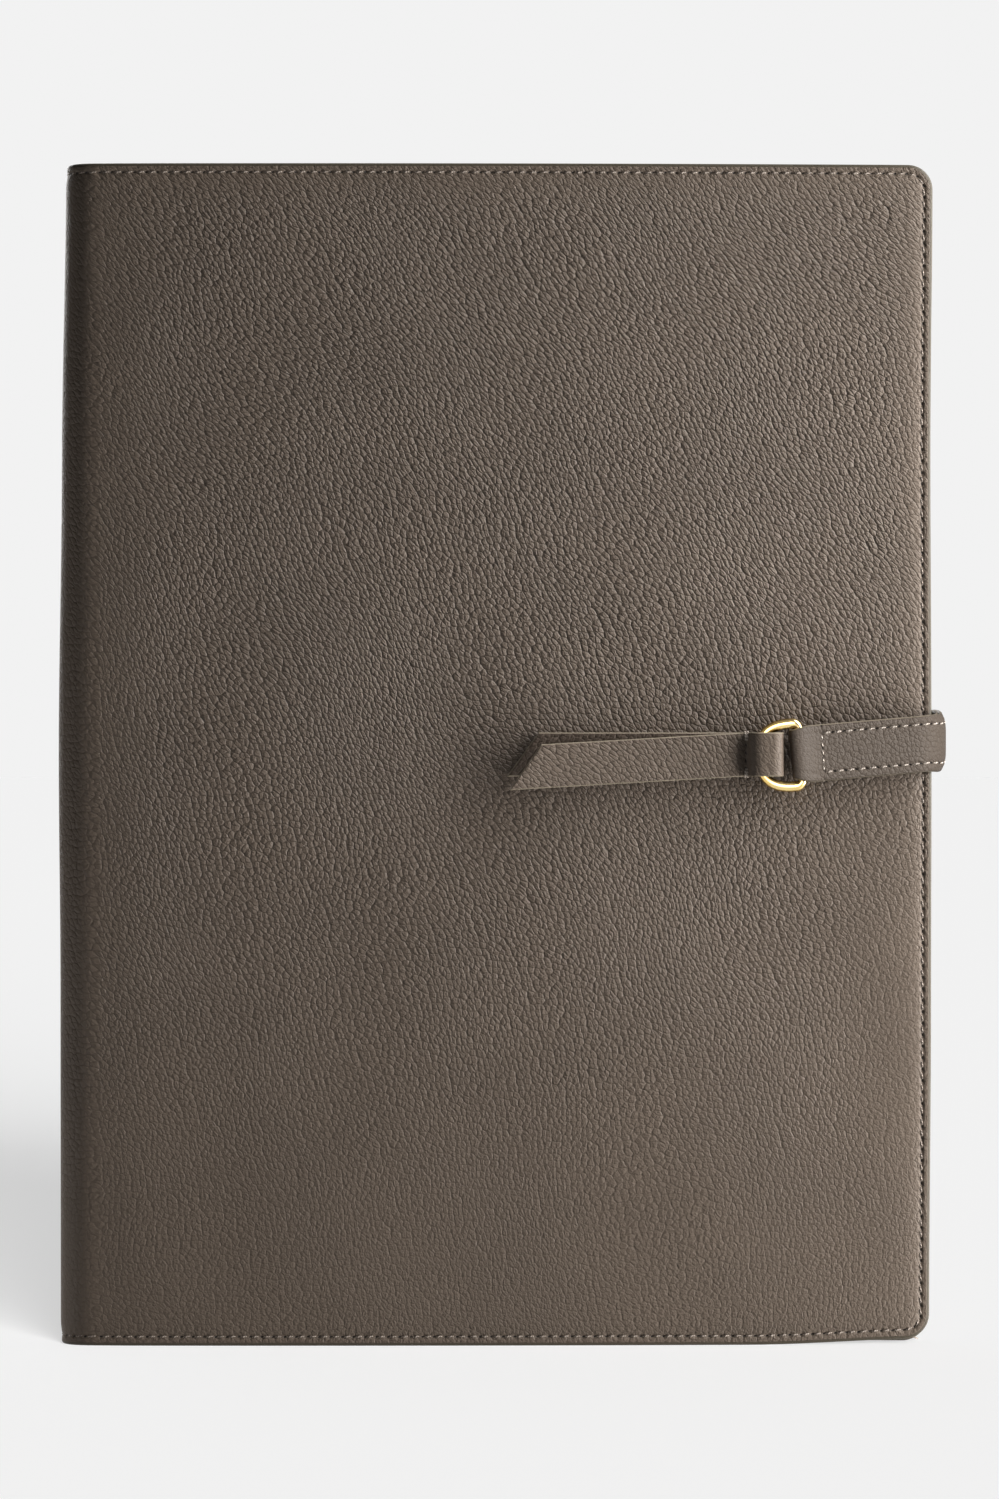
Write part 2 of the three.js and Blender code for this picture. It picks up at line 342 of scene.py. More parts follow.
class LeatherWall(ABC):
    """A leather piece: a flat grid that is bent to its place and given its thickness."""

    name: str
    slot: str
    wall: float
    border: Border

    @abstractmethod
    def columns(self) -> list[float]:
        """Returns the grid's stations along the flat piece."""

    @abstractmethod
    def lines(self) -> list[float]:
        """Returns the grid's stations across the flat piece."""

    @abstractmethod
    def cut(self, flat: float, rise: float) -> Cut:
        """Returns where a grid point lies once the piece is cut to its outline."""

    @abstractmethod
    def middle(self, flat: float, rise: float) -> Vector:
        """Returns the place of a flat point on the middle of the bent wall."""

    def normal(self, flat: float, rise: float) -> Vector:
        """Returns the direction in which the bent wall's grain side faces.

        Args:
            flat: distance along the flat piece.
            rise: distance across it.

        Returns:
            The direction, of unit length.
        """
        step = 0.15
        along = self.middle(flat + step, rise) - self.middle(flat - step, rise)
        across = self.middle(flat, rise + step) - self.middle(flat, rise - step)
        return along.cross(across).normalized()

    def surface(self, cut: Cut, face: Face, above: float = 0.0) -> Vector:
        """Returns a point on one face of the wall, or a distance above it.

        Args:
            cut: the point of the flat piece.
            face: which of the two faces.
            above: height over that face.

        Returns:
            The point in holder millimetres.
        """
        half = self.wall / 2 - self.border.thinning(cut.edge) + above
        return self.middle(cut.flat, cut.rise) + self.normal(cut.flat, cut.rise) * (half * face.value)

    def flat_box(self, columns: Sequence[float], lines: Sequence[float]) -> BMesh:
        """Returns a closed flat slab, with a grid on both faces and a rim between them.

        Args:
            columns: the grid's stations along the piece.
            lines: the grid's stations across it.

        Returns:
            The slab, from -1 to 1 both ways, with its grain face at 0 and its flesh face below.
        """
        bm = bmesh.new()
        bmesh.ops.create_grid(bm, x_segments=len(columns) - 1, y_segments=len(lines) - 1, size=1.0)
        both = bm.verts[:] + bm.edges[:] + bm.faces[:]
        copied = bmesh.ops.duplicate(bm, geom=both)["geom"]
        bmesh.ops.translate(bm, verts=only(copied, bmesh.types.BMVert), vec=(0, 0, -SLAB_DEPTH))
        bmesh.ops.reverse_faces(bm, faces=only(copied, bmesh.types.BMFace))
        bmesh.ops.bridge_loops(bm, edges=[edge for edge in bm.edges if edge.is_boundary])
        bmesh.ops.recalc_face_normals(bm, faces=bm.faces)
        return bm

    def build(self) -> Piece:
        """Returns the bent piece, with its flat place, seam and calm kept as attributes.

        Returns:
            The piece, without a finish.
        """
        columns, lines = self.columns(), self.lines()
        bm = self.flat_box(columns, lines)
        places = bm.verts.layers.float_vector.new("flat")
        seams = bm.verts.layers.float_vector.new("seam")
        calms = bm.verts.layers.float.new("calm")
        for vert in bm.verts:
            column = round((vert.co.x + 1) / 2 * (len(columns) - 1))
            line = round((vert.co.y + 1) / 2 * (len(lines) - 1))
            face = Face.GRAIN if vert.co.z > -SLAB_DEPTH / 2 else Face.FLESH
            cut = self.cut(columns[column], lines[line])
            vert[places] = (cut.flat, cut.rise, face.value)
            vert[seams] = (cut.edge, cut.across, cut.stitched)
            vert[calms] = cut.calm
            vert.co = to_frame(self.surface(cut, face))
        return finished(bm, self.name)


def only(items: Iterable[object], kind: type) -> list:
    """Returns the items of one bmesh kind."""
    return [item for item in items if isinstance(item, kind)]


def in_scene(name: str, data: bpy.types.ID) -> Piece:
    """Returns a new object of some data, placed in the scene.

    Args:
        name: the object's name.
        data: its mesh, light or camera.

    Returns:
        The object.
    """
    made = bpy.data.objects.new(name, data)
    bpy.context.scene.collection.objects.link(made)
    return made


def finished(bm: BMesh, name: str) -> Piece:
    """Returns a smooth object made from a bmesh, which is freed.

    Args:
        bm: the shape.
        name: the name of the object and of its mesh.

    Returns:
        The object.
    """
    mesh = bpy.data.meshes.new(name)
    bm.to_mesh(mesh)
    bm.free()
    mesh.shade_smooth()
    return in_scene(name, mesh)


def round_corner(across: float, up: float, radius: float) -> tuple[float, float]:
    """Moves a point of a square corner to its place in the rounded one.

    Args:
        across: distance from the upright edge.
        up: distance from the level edge.
        radius: the corner's radius.

    Returns:
        The two distances in the rounded corner.
    """
    inset = min(across, up)
    left = radius - inset
    beyond = abs(across - up)
    if left <= 0 or beyond >= left:
        return across, up
    angle = math.pi / 4 * (1 - beyond / left)
    far, near = radius - left * math.sin(angle), radius - left * math.cos(angle)
    return (far, near) if across > up else (near, far)


@dataclass
class Cover(LeatherWall):
    """The folded cover: back panel, spine and front panel cut from one piece."""

    form: CoverForm = COVER_FORM
    corner_radius: float = 7.0
    pitch: float = 3.25
    step: float = 6.0
    fold_step: float = 1.1
    calm_below: float = 0.7
    calm_height: float = 210.0
    calm_edge: float = 0.55
    calm_reach: float = 14.0
    calm_spine: float = 0.45
    calm_beside: float = 26.0
    calm_fore: float = 0.75
    calm_inward: float = 75.0
    calm_fore_heights: tuple[float, float] = (90.0, 250.0)
    name: str = "leather_cover"
    slot: str = "cover_leather"
    wall: float = COVER_FORM.wall
    border: Border = Border(rounding=0.8, seam=2.6, groove=0.22, drop=0.3)

    def columns(self) -> list[float]:
        """Returns the stations from the back fore-edge to the front one.

        Returns:
            The stations, closer together at the edges and in the fold.
        """
        edge = self.border.stations()
        far = [self.form.flat_width - station for station in reversed(edge)]
        fold = [self.form.arm, self.form.arm + self.form.fold_length]
        panels = [spread(edge[-1], fold[0], self.step), spread(fold[1], far[0], self.step)]
        return edge + panels[0] + fold[:1] + spread(*fold, self.fold_step) + fold[1:] + panels[1] + far

    def lines(self) -> list[float]:
        """Returns the stations from the lower edge to the upper one."""
        return edged(self.border.stations(), self.form.height, self.step)

    def middle(self, flat: float, rise: float) -> Vector:
        """Returns a flat point's place on the folded cover."""
        return self.form.middle(flat, rise)

    def cut(self, flat: float, rise: float) -> Cut:
        """Returns a grid point's place with the four corners rounded.

        Args:
            flat: distance from the back fore-edge, round the spine, to the point.
            rise: distance from the lower edge.

        Returns:
            The point's place on the cut cover.
        """
        width, height = self.form.flat_width, self.form.height
        across, up = min(flat, width - flat), min(rise, height - rise)
        near, low = round_corner(across, up, self.corner_radius)
        edge = min(across, up)
        from_fold = abs(flat - width / 2) - self.form.fold_length / 2
        fore = (1 - ease(across, 0.0, self.calm_inward)) * (1 - ease(rise, *self.calm_fore_heights))
        calm = max(
            self.calm_below * (1 - ease(rise, 0.0, self.calm_height)),
            self.calm_edge * (1 - ease(edge, self.border.seam, self.calm_reach)),
            self.calm_spine * (1 - ease(from_fold, 0.0, self.calm_beside)),
            self.calm_fore * fore,
        )
        flat_place = near if flat < width / 2 else width - near
        rise_place = low if rise < height / 2 else height - low
        across_seam = edge - self.border.seam
        return Cut(flat_place, rise_place, edge, across_seam, self.stitched(flat, rise), calm)

    @property
    def corner_arc(self) -> float:
        """The seam's length round one corner."""
        return math.pi / 2 * (self.corner_radius - self.border.seam)

    def seam_sides(self) -> list[tuple[float, float]]:
        """Returns where the seam's straight runs start, and their lengths: up, over, down and back.

        Returns:
            A start and a length along the seam for each of the four runs.
        """
        over = self.form.flat_width - 2 * self.corner_radius
        up = self.form.height - 2 * self.corner_radius
        starts = [-up / 2]
        for run in (up, over, up):
            starts.append(starts[-1] + run + self.corner_arc)
        return list(zip(starts, (up, over, up, over)))

    @property
    def seam_length(self) -> float:
        """The whole seam's length, round the four sides."""
        return sum(run + self.corner_arc for _, run in self.seam_sides())

    def stitched(self, flat: float, rise: float) -> float:
        """Returns how far along the seam a grid point lies, from the middle of the back fore-edge.

        Args:
            flat: distance from the back fore-edge, round the spine, to the point.
            rise: distance from the lower edge.

        Returns:
            The length along the seam, beside the point.
        """
        width, height = self.form.flat_width, self.form.height
        insets = (flat, height - rise, width - flat, rise)
        side = insets.index(min(insets))
        reach = (rise, flat, height - rise, width - flat)[side]
        start, run = self.seam_sides()[side]
        left = max(self.corner_radius - insets[side], TINY)
        from_start, to_end = reach - self.corner_radius, run + self.corner_radius - reach
        if from_start < 0:
            share = clamp((reach - insets[side]) / left)
            place = start - (1 - share) * self.corner_arc / 2
        elif to_end < 0:
            share = clamp((run + 2 * self.corner_radius - reach - insets[side]) / left)
            place = start + run + (1 - share) * self.corner_arc / 2
        else:
            place = start + from_start
        return place + self.seam_length if side == 0 and rise < height / 2 else place

    def seam_cut(self, stitched: float, outward: float = 0.0) -> Cut:
        """Returns the point of the flat cover at a length along the seam.

        Args:
            stitched: length along the seam, from the middle of the back fore-edge.
            outward: distance from the seam towards the edge.

        Returns:
            The flat point.
        """
        width, height, radius = self.form.flat_width, self.form.height, self.corner_radius
        inset = self.border.seam - outward
        past_middle = stitched >= self.seam_length - height / 2
        length = stitched - self.seam_length if past_middle else stitched
        for side, (start, run) in enumerate(self.seam_sides()):
            reach = length - start
            if reach <= run + self.corner_arc:
                break
        turn = max(reach - run, 0) / self.corner_arc * math.pi / 2
        left = radius - inset
        far = min(reach, run) + radius + left * math.sin(turn)
        near = inset + left * (1 - math.cos(turn))
        places = ((near, far), (far, height - near), (width - near, height - far), (width - far, near))
        return Cut(*places[side], inset, -outward, stitched)


@dataclass
class PlanPath:
    """A line in plan, with its length measured along it."""

    points: list[Vector]
    lengths: list[float] = field(init=False)

    def __post_init__(self) -> None:
        """Measures the line."""
        self.lengths = [0.0]
        for before, after in zip(self.points, self.points[1:]):
            self.lengths.append(self.lengths[-1] + (after - before).length)

    @property
    def length(self) -> float:
        """The whole line's length."""
        return self.lengths[-1]

    def at(self, length: float) -> Vector:
        """Returns the point at a length along the line, or on its straight continuation.

        Args:
            length: distance from the line's start.

        Returns:
            The point in plan.
        """
        i = min(max(bisect_right(self.lengths, length), 1), len(self.points) - 1)
        share = (length - self.lengths[i - 1]) / (self.lengths[i] - self.lengths[i - 1])
        return self.points[i - 1].lerp(self.points[i], share)

    def length_at(self, wanted: Callable[[Vector], bool]) -> float:
        """Returns the length of the first point that meets a condition."""
        return next(length for point, length in zip(self.points, self.lengths) if wanted(point))


@dataclass(frozen=True)
class RingForm:
    """The D-ring's sizes and place."""

    wire: float = 2.5
    height: float = 20.3
    depth: float = 14.15
    corner_radius: float = 1.8
    bar: float = 208.0
    lift: float = 3.25
    lean: float = 4.5
    level: float = 167.0


RING_FORM = RingForm()
STRAP_ROW = COVER_FORM.row(RING_FORM.level)
# Clearance between the leather and what it lies on or passes round.
GAP = 0.35
LOOP_RADIUS = RING_FORM.wire / 2 + GAP


def on_front(along: float, lift: float) -> Vector:
    """Returns a point in plan that stands a height above the front cover, beside the strap."""
    return Vector((along, -(COVER_FORM.outer_half(along, STRAP_ROW) + lift)))


@dataclass
class Strap(LeatherWall):
    """The closing strap: one strip folded through the ring, its two layers sewn together."""

    width: float = 16.0
    fold_width: float = 13.8
    taper: float = 6.0
    closing: float = 6.4
    wrap_radius: float = 9.5
    proud: float = 4.5
    rise_front: float = 3.2
    rise_back: float = 1.4
    curl: float = 1.4
    curl_power: int = 5
    back_end: float = 180.0
    layer_gap: float = 0.01
    pitch: float = 3.1
    fine: float = 0.5
    across_step: float = 1.2
    front_share: float = 0.012
    wrap_turn: float = 0.06
    back_step: float = 0.6
    loop_turn: float = 0.12
    loop_calm: float = 0.85
    loop_reach: float = 4.0
    loop_blend: float = 1.0
    name: str = "leather_strap"
    slot: str = "strap_leather"
    wall: float = 1.2
    border: Border = Border(rounding=0.42, seam=2.5, groove=0.12, groove_half=0.45)
    calm: float = 0.5
    path: PlanPath = field(init=False)
    fold_at: float = field(init=False)

    def __post_init__(self) -> None:
        """Lays the strip's line out."""
        base = self.base_line()
        inner = [self.beside(base, i, -1) for i in range(len(base))]
        outer = [self.beside(base, i, 1) for i in range(len(base))]
        loop = self.loop()
        self.path = PlanPath(inner[::-1] + loop + outer)
        self.fold_at = self.path.lengths[len(inner) + len(loop) // 2]

    @property
    def sewn_from(self) -> float:
        """The length from the fold to the stitches that close the loop."""
        return math.pi / 2 * (LOOP_RADIUS + self.wall / 2) + self.closing

    def closing_half(self, along: float) -> float:
        """Returns half the strap's thickness, from the loop to the stitches that close it."""
        closed = ease(along, RING_FORM.bar, RING_FORM.bar + self.closing)
        return lerp(LOOP_RADIUS + self.wall, self.wall + self.layer_gap, closed)

    def base_line(self) -> list[Vector]:
        """Returns the line between the two layers, from the bar to the sewn end on the back.

        Returns:
            The line's points in plan.
        """
        radius = self.wrap_radius - self.wall
        centre = Vector((COVER_FORM.width + self.proud - self.wrap_radius, 0))
        bar = on_front(RING_FORM.bar, RING_FORM.lift)
        away = bar - centre
        start = math.atan2(away.y, away.x) + math.acos(radius / away.length)
        end = math.pi / 2
        start -= 2 * math.pi * math.ceil((start - end) / (2 * math.pi))
        turn = [start, *spread(start, end, self.wrap_turn), end]
        wrap = [centre + radius * Vector((math.cos(angle), math.sin(angle))) for angle in turn]
        front = [bar.lerp(wrap[0], share) for share in [0.0, *spread(0, 1, self.front_share)]]
        back = []
        for along in [*spread(centre.x, self.back_end, self.back_step), self.back_end]:
            clear = COVER_FORM.outer_half(along, STRAP_ROW) + GAP + self.wall
            back.append(Vector((along, max(clear, radius))))
        return front + wrap + back

    def beside(self, base: Sequence[Vector], i: int, side: int) -> Vector:
        """Returns a layer's middle beside a point of the base line, on the outer side or the inner one.

        Args:
            base: the base line's points.
            i: which of them.
            side: 1 for the outer layer, -1 for the inner one.

        Returns:
            The point in plan.
        """
        ahead = base[min(i + 1, len(base) - 1)] - base[max(i - 1, 0)]
        outward = Vector((ahead.y, -ahead.x)).normalized() * side
        half = self.closing_half(base[i].x) if base[i].y < 0 else self.wall + self.layer_gap
        return base[i] + outward * (half - self.wall / 2)

    def loop(self) -> list[Vector]:
        """Returns the layer's middle round the ring's bar, from the inner side to the outer one.

        Returns:
            The loop's points in plan.
        """
        bar = on_front(RING_FORM.bar, RING_FORM.lift)
        radius = LOOP_RADIUS + self.wall / 2
        turns = spread(math.pi / 2, 1.5 * math.pi, self.loop_turn)
        return [bar + radius * Vector((math.cos(turn), math.sin(turn))) for turn in turns]

    def columns(self) -> list[float]:
        """Returns the stations from the inner layer's end to the outer layer's."""
        return edged(self.border.rounded(), self.path.length, self.fine)

    def lines(self) -> list[float]:
        """Returns the stations across the strip."""
        return edged(self.border.stations(), self.width, self.across_step)

    def cut(self, flat: float, rise: float) -> Cut:
        """Returns a grid point's place, with its seams and the smooth leather of the loop.

        Args:
            flat: distance along the strip, from the inner layer's end.
            rise: distance across it, from its lower edge.

        Returns:
            The point's place on the cut strip.
        """
        from_fold = abs(flat - self.fold_at)
        level = min(rise, self.width - rise)
        edge = min(level, flat, self.path.length - flat)
        from_loop = ease(from_fold, self.loop_reach, self.sewn_from + self.loop_blend)
        calm = lerp(self.loop_calm, self.calm, from_loop)
        if from_fold < self.sewn_from + self.border.groove_half:
            return Cut(flat, rise, edge, from_fold - self.sewn_from, rise, calm)
        return Cut(flat, rise, edge, level - self.border.seam, from_fold - self.sewn_from, calm)

    def middle(self, flat: float, rise: float) -> Vector:
        """Returns a flat point's place: slanting up to the fore-edge and narrowed at the ring.

        Args:
            flat: distance along the strip, from the inner layer's end.
            rise: distance across it, from its lower edge.

        Returns:
            The point in holder millimetres.
        """
        point = self.path.at(flat)
        half = STRAP_ROW.fore_half
        round_edge = ease(point.y, -half, half)
        along = clamp((point.x - RING_FORM.bar) / (COVER_FORM.width - RING_FORM.bar))
        fold = RING_FORM.bar - (LOOP_RADIUS + self.wall)
        widen = ease(point.x, fold, fold + self.taper) if point.y < 0 else 1.0
        up = (rise - self.width / 2) * lerp(self.fold_width / self.width, 1, widen)
        climb = lerp(self.rise_front * along, self.rise_front + self.rise_back, round_edge)
        lean = math.tan(math.radians(RING_FORM.lean)) * (1 - along) * (1 - round_edge)
        curled = self.curl * abs(2 * rise / self.width - 1) ** self.curl_power
        curled *= ease(point.x, COVER_FORM.width - self.proud, COVER_FORM.width + self.proud)
        across = point.x - (rise - self.width / 2) * lean - curled
        return Vector((across, point.y, RING_FORM.level + up + climb))


@dataclass(frozen=True)
class TabRow:
    """One station of the front tail: distance from the spine and height above the cover."""

    along: float
    lift: float


def curve_through(points: Sequence[Vector], steps: int) -> list[Vector]:
    """Returns a smooth line through points, with a number of steps between each two.

    Args:
        points: the points that the line passes.
        steps: how many steps there are from one to the next.

    Returns:
        The line's points.
    """
    line = []
    padded = [points[0], *points, points[-1]]
    for before, start, end, after in zip(padded, padded[1:], padded[2:], padded[3:]):
        for i in range(steps):
            t = i / steps
            leave, arrive = (end - before) / 2, (after - start) / 2
            line.append(
                start * (2 * t**3 - 3 * t**2 + 1)
                + leave * (t**3 - 2 * t**2 + t)
                + end * (3 * t**2 - 2 * t**3)
                + arrive * (t**3 - t**2)
            )
    return line + [points[-1]]


@dataclass
class Tab(LeatherWall):
    """The pull tab: a strip folded through the ring, with two slanted tails."""

    width: float = 12.4
    fold: float = 203.4
    tack: float = 192.7
    rear_tip: float = 129.6
    slant: float = 54.0
    slant_reach: float = 24.0
    droop: float = 3.3
    fine: float = 0.8
    across_step: float = 1.0
    curve_steps: int = 14
    fold_turn: float = 0.12
    rear_step: float = 2.0
    fold_slack: float = 0.05
    fold_calm: float = 0.6
    calm_before: float = 0.6
    calm_after: float = 1.2
    front_rows: tuple[TabRow, ...] = (
        TabRow(130.3, 6.2),
        TabRow(158.7, 3.7),
        TabRow(182.7, 2.7),
        TabRow(192.3, 2.6),
        TabRow(193.8, 3.5),
        TabRow(194.7, 4.9),
        TabRow(196.7, 5.55),
    )
    name: str = "leather_tab"
    slot: str = "tab_leather"
    wall: float = 1.2
    border: Border = Border(rounding=0.4, seam=2.5)
    path: PlanPath = field(init=False)

    def __post_init__(self) -> None:
        """Lays the strip's line out."""
        rear_lift = GAP + self.wall / 2
        top = self.front_rows[-1].lift
        radius = (top - rear_lift) / 2
        centre = self.fold - self.wall / 2 - radius
        rows = [*self.front_rows, TabRow(centre, top)]
        front = curve_through([on_front(row.along, row.lift) for row in rows], self.curve_steps)
        fold = []
        for turn in [*spread(0, math.pi, self.fold_turn), math.pi]:
            lift = top - radius * (1 - math.cos(turn))
            fold.append(on_front(centre + radius * math.sin(turn), lift))
        stations = [*spread(centre, self.rear_tip, self.rear_step), self.rear_tip]
        self.path = PlanPath(front + fold + [on_front(along, rear_lift) for along in stations])

    @property
    def front_length(self) -> float:
        """The length along the strip at the outermost point of its fold."""
        return self.path.length_at(lambda point: point.x > self.fold - self.wall / 2 - self.fold_slack)

    def columns(self) -> list[float]:
        """Returns the stations from the front tail's tip to the rear tail's."""
        return edged(self.border.stations(), self.path.length, self.fine)

    def lines(self) -> list[float]:
        """Returns the stations across the strip."""
        return edged(self.border.stations(), self.width, self.across_step)

    def cut(self, flat: float, rise: float) -> Cut:
        """Returns a grid point's place, with both ends slanted and the fold left smooth.

        Args:
            flat: distance along the strip, from the front tail's tip.
            rise: distance across it, from its lower edge.

        Returns:
            The point's place on the cut strip.
        """
        shear = (rise - self.width / 2) / math.tan(math.radians(self.slant))
        front_share = 1 - ease(flat, 0, self.slant_reach)
        rear_share = 1 - ease(self.path.length - flat, 0, self.slant_reach)
        shifted = flat + shear * (front_share - rear_share)
        steep = math.sin(math.radians(self.slant))
        edge = min(rise, self.width - rise, flat * steep, (self.path.length - flat) * steep)
        from_tack = self.path.at(flat).x - self.tack
        calm = self.fold_calm * ease(from_tack, -self.calm_before, self.calm_after)
        return Cut(shifted, rise, edge, from_tack, rise, calm)

    def middle(self, flat: float, rise: float) -> Vector:
        """Returns a flat point's place, with the front tail turned down from the tack.

        Args:
            flat: distance along the strip, from the front tail's tip.
            rise: distance across it, from its lower edge.

        Returns:
            The point in holder millimetres.
        """
        point = self.path.at(flat)
        below = max(self.tack - point.x, 0.0) if flat < self.front_length else 0.0
        up = rise - self.width / 2 - below * math.tan(math.radians(self.droop))
        return Vector((point.x, point.y, RING_FORM.level + up))


@dataclass(frozen=True)
class Thread:
    """The sewing thread, and how a stitch of it lies."""

    radius: float = 0.2
    sides: int = 6
    segments: int = 5
    arch: float = 0.2
    sink: float = 0.12
    taper: float = 0.4

    def template(self) -> tuple[np.ndarray, list[list[int]]]:
        """Returns the points and faces of one straight stitch, of unit length and radius, along x.

        Returns:
            The points, and the faces as lists of point numbers.
        """
        bm = bmesh.new()
        bmesh.ops.create_cone(bm, cap_ends=True, segments=self.sides, radius1=1.0, radius2=1.0, depth=1.0)
        long_edges = [edge for edge in bm.edges if abs(edge.verts[0].co.z - edge.verts[1].co.z) > 0.5]
        bmesh.ops.subdivide_edges(bm, edges=long_edges, cuts=self.segments - 1, use_grid_fill=True)
        bmesh.ops.rotate(bm, verts=bm.verts, matrix=Matrix.Rotation(math.pi / 2, 3, "Y"))
        points = np.array([vert.co[:] for vert in bm.verts])
        faces = [[vert.index for vert in face.verts] for face in bm.faces]
        bm.free()
        return points, faces


@dataclass
class Seam:
    """All the stitches of one piece, joined in one mesh."""

    name: str
    thread: Thread = Thread()
    starts: list[Vector] = field(default_factory=list)
    ends: list[Vector] = field(default_factory=list)
    normals: list[Vector] = field(default_factory=list)

    def add(self, start: Vector, end: Vector, normal: Vector) -> None:
        """Lays one stitch between two points of a face, which are in holder millimetres.

        Args:
            start: where the thread comes out of the leather.
            end: where it goes in again.
            normal: the way the face looks there.
        """
        self.starts.append(start)
        self.ends.append(end)
        self.normals.append(normal)

    def build(self) -> Piece:
        """Returns the joined stitches, with the thread's lay kept as an attribute.

        Returns:
            The stitches as one piece, without a finish.
        """
        thread = self.thread
        points, faces = thread.template()
        start, end, up = (np.array(rows) for rows in (self.starts, self.ends, self.normals))
        chord = end - start
        length = np.linalg.norm(chord, axis=1, keepdims=True)
        ahead = chord / length
        aside = np.cross(up, ahead)
        aside /= np.linalg.norm(aside, axis=1, keepdims=True)
        above = np.cross(ahead, aside)
        share = 2 * points[:, 0]
        radius = thread.radius * (1 - thread.taper * share**4)
        lift = points[:, 2] * radius + thread.arch * (1 - share**2) - thread.sink
        placed = ((start + end) / 2)[:, None] + (ahead * length)[:, None] * points[None, :, :1]
        placed = placed + aside[:, None] * (points[:, 1] * radius)[None, :, None]
        placed = placed + above[:, None] * lift[None, :, None]
        mesh = bpy.data.meshes.new(self.name)
        joined = []
        for first in range(0, len(start) * len(points), len(points)):
            joined += [[first + i for i in face] for face in faces]
        mesh.from_pydata((placed.reshape(-1, 3) * MM + np.array(ORIGIN)).tolist(), [], joined)
        along = (length * points[None, :, 0]).reshape(-1)
        lay = np.column_stack([along, np.tile(points[:, 1], len(start)), np.tile(points[:, 2], len(start))])
        mesh.attributes.new("lay", "FLOAT_VECTOR", "POINT").data.foreach_set("vector", lay.reshape(-1))
        mesh.shade_smooth()
        return in_scene(self.name, mesh)


@dataclass
class CoverSeam:
    """The cover's seam, sewn round all four sides and seen on both faces."""

    cover: Cover
    share: float = 0.56
    slant: float = 0.19

    def build(self, face: Face, name: str) -> Piece:
        """Returns the stitches on one face, each with its leading end nearer the edge.

        Args:
            face: the cover's face that they lie on.
            name: the piece's name.

        Returns:
            The stitches as one piece, without a finish.
        """
        seam = Seam(name)
        count = round(self.cover.seam_length / self.cover.pitch)
        pitch = self.cover.seam_length / count
        for i in range(count):
            middle = (i + 0.5) * pitch
            reach = pitch * self.share / 2
            start = self.cover.seam_cut(middle - reach, -self.slant)
            end = self.cover.seam_cut(middle + reach, self.slant)
            normal = self.cover.normal(start.flat, start.rise) * face.value
            seam.add(self.cover.surface(start, face), self.cover.surface(end, face), normal)
        return seam.build()


@dataclass
class StrapSeam:
    """The strap's seams: along both edges, across the loop's end and across the sewn end."""

    strap: Strap
    share: float = 0.62
    slant: float = 0.14
    end_row: float = 2.6
    cross_row: float = 16.0
    cross_pitch: float = 2.2
    thread: Thread = Thread(radius=0.21)

    def stitch(self, seam: Seam, start: tuple[float, float], end: tuple[float, float]) -> None:
        """Lays one stitch between two flat points of the outer layer, each a length and a rise.

        Args:
            seam: the seam that takes the stitch.
            start: where the thread comes out of the leather.
            end: where it goes in again.
        """
        width = self.strap.width
        cuts = [Cut(flat, rise, min(rise, width - rise), 0.0, 0.0) for flat, rise in (start, end)]
        places = [self.strap.surface(cut, Face.GRAIN) for cut in cuts]
        seam.add(places[0], places[1], self.strap.normal(*start))

    def build(self) -> Piece:
        """Returns every stitch that shows on the strap.

        Returns:
            The stitches as one piece, without a finish.
        """
        strap, slant = self.strap, self.slant
        seam = Seam("strap_stitches", self.thread)
        first = strap.fold_at + strap.sewn_from
        last = strap.path.length - self.end_row
        count = round((last - first) / strap.pitch)
        pitch = (last - first) / count
        levels = (strap.border.seam, strap.width - strap.border.seam)
        for level in levels:
            for i in range(count):
                middle, reach = first + (i + 0.5) * pitch, pitch * self.share / 2
                self.stitch(seam, (middle - reach, level - slant), (middle + reach, level + slant))
        across = round((levels[1] - levels[0]) / self.cross_pitch)
        step = (levels[1] - levels[0]) / across
        for flat in (first, last, strap.path.length - self.cross_row):
            for i in range(across):
                middle, reach = levels[0] + (i + 0.5) * step, step * self.share / 2
                self.stitch(seam, (flat + slant, middle - reach), (flat - slant, middle + reach))
        return seam.build()


@dataclass
class TabTack:
    """The whip stitches that tack the tab's two tails together beside the ring."""

    tab: Tab
    reach: float = 2.3
    spacing: float = 0.9
    turns: int = 2
    gathered: float = 0.4
    rim: float = 0.1
    thread: Thread = Thread(radius=0.36, arch=0.25, sink=0.05)

    def build(self) -> Piece:
        """Returns the stitches over the tab's upper and lower edges.

        Returns:
            The stitches as one piece, without a finish.
        """
        tab = self.tab
        seam = Seam("tab_stitches", self.thread)
        tacked = tab.path.length_at(lambda point: point.x > tab.tack)
        rear = tab.path.length - (tab.tack - tab.rear_tip)
        for edge, inward in ((0.0, 1), (tab.width, -1)):
            for turn in range(self.turns):
                shift = self.spacing * (turn - (self.turns - 1) / 2)
                near = edge + inward * self.rim
                hole = Cut(tacked + shift * self.gathered, edge + inward * self.reach, self.reach, 0.0, 0.0)
                rim = Cut(tacked + shift, near, self.rim, 0.0, 0.0)
                under = Cut(rear - shift, near, self.rim, 0.0, 0.0)
                top = tab.surface(rim, Face.GRAIN)
                seam.add(tab.surface(hole, Face.GRAIN), top, tab.normal(hole.flat, hole.rise))
                seam.add(top, tab.surface(under, Face.GRAIN), Vector((0, 0, -inward)))
        return seam.build()


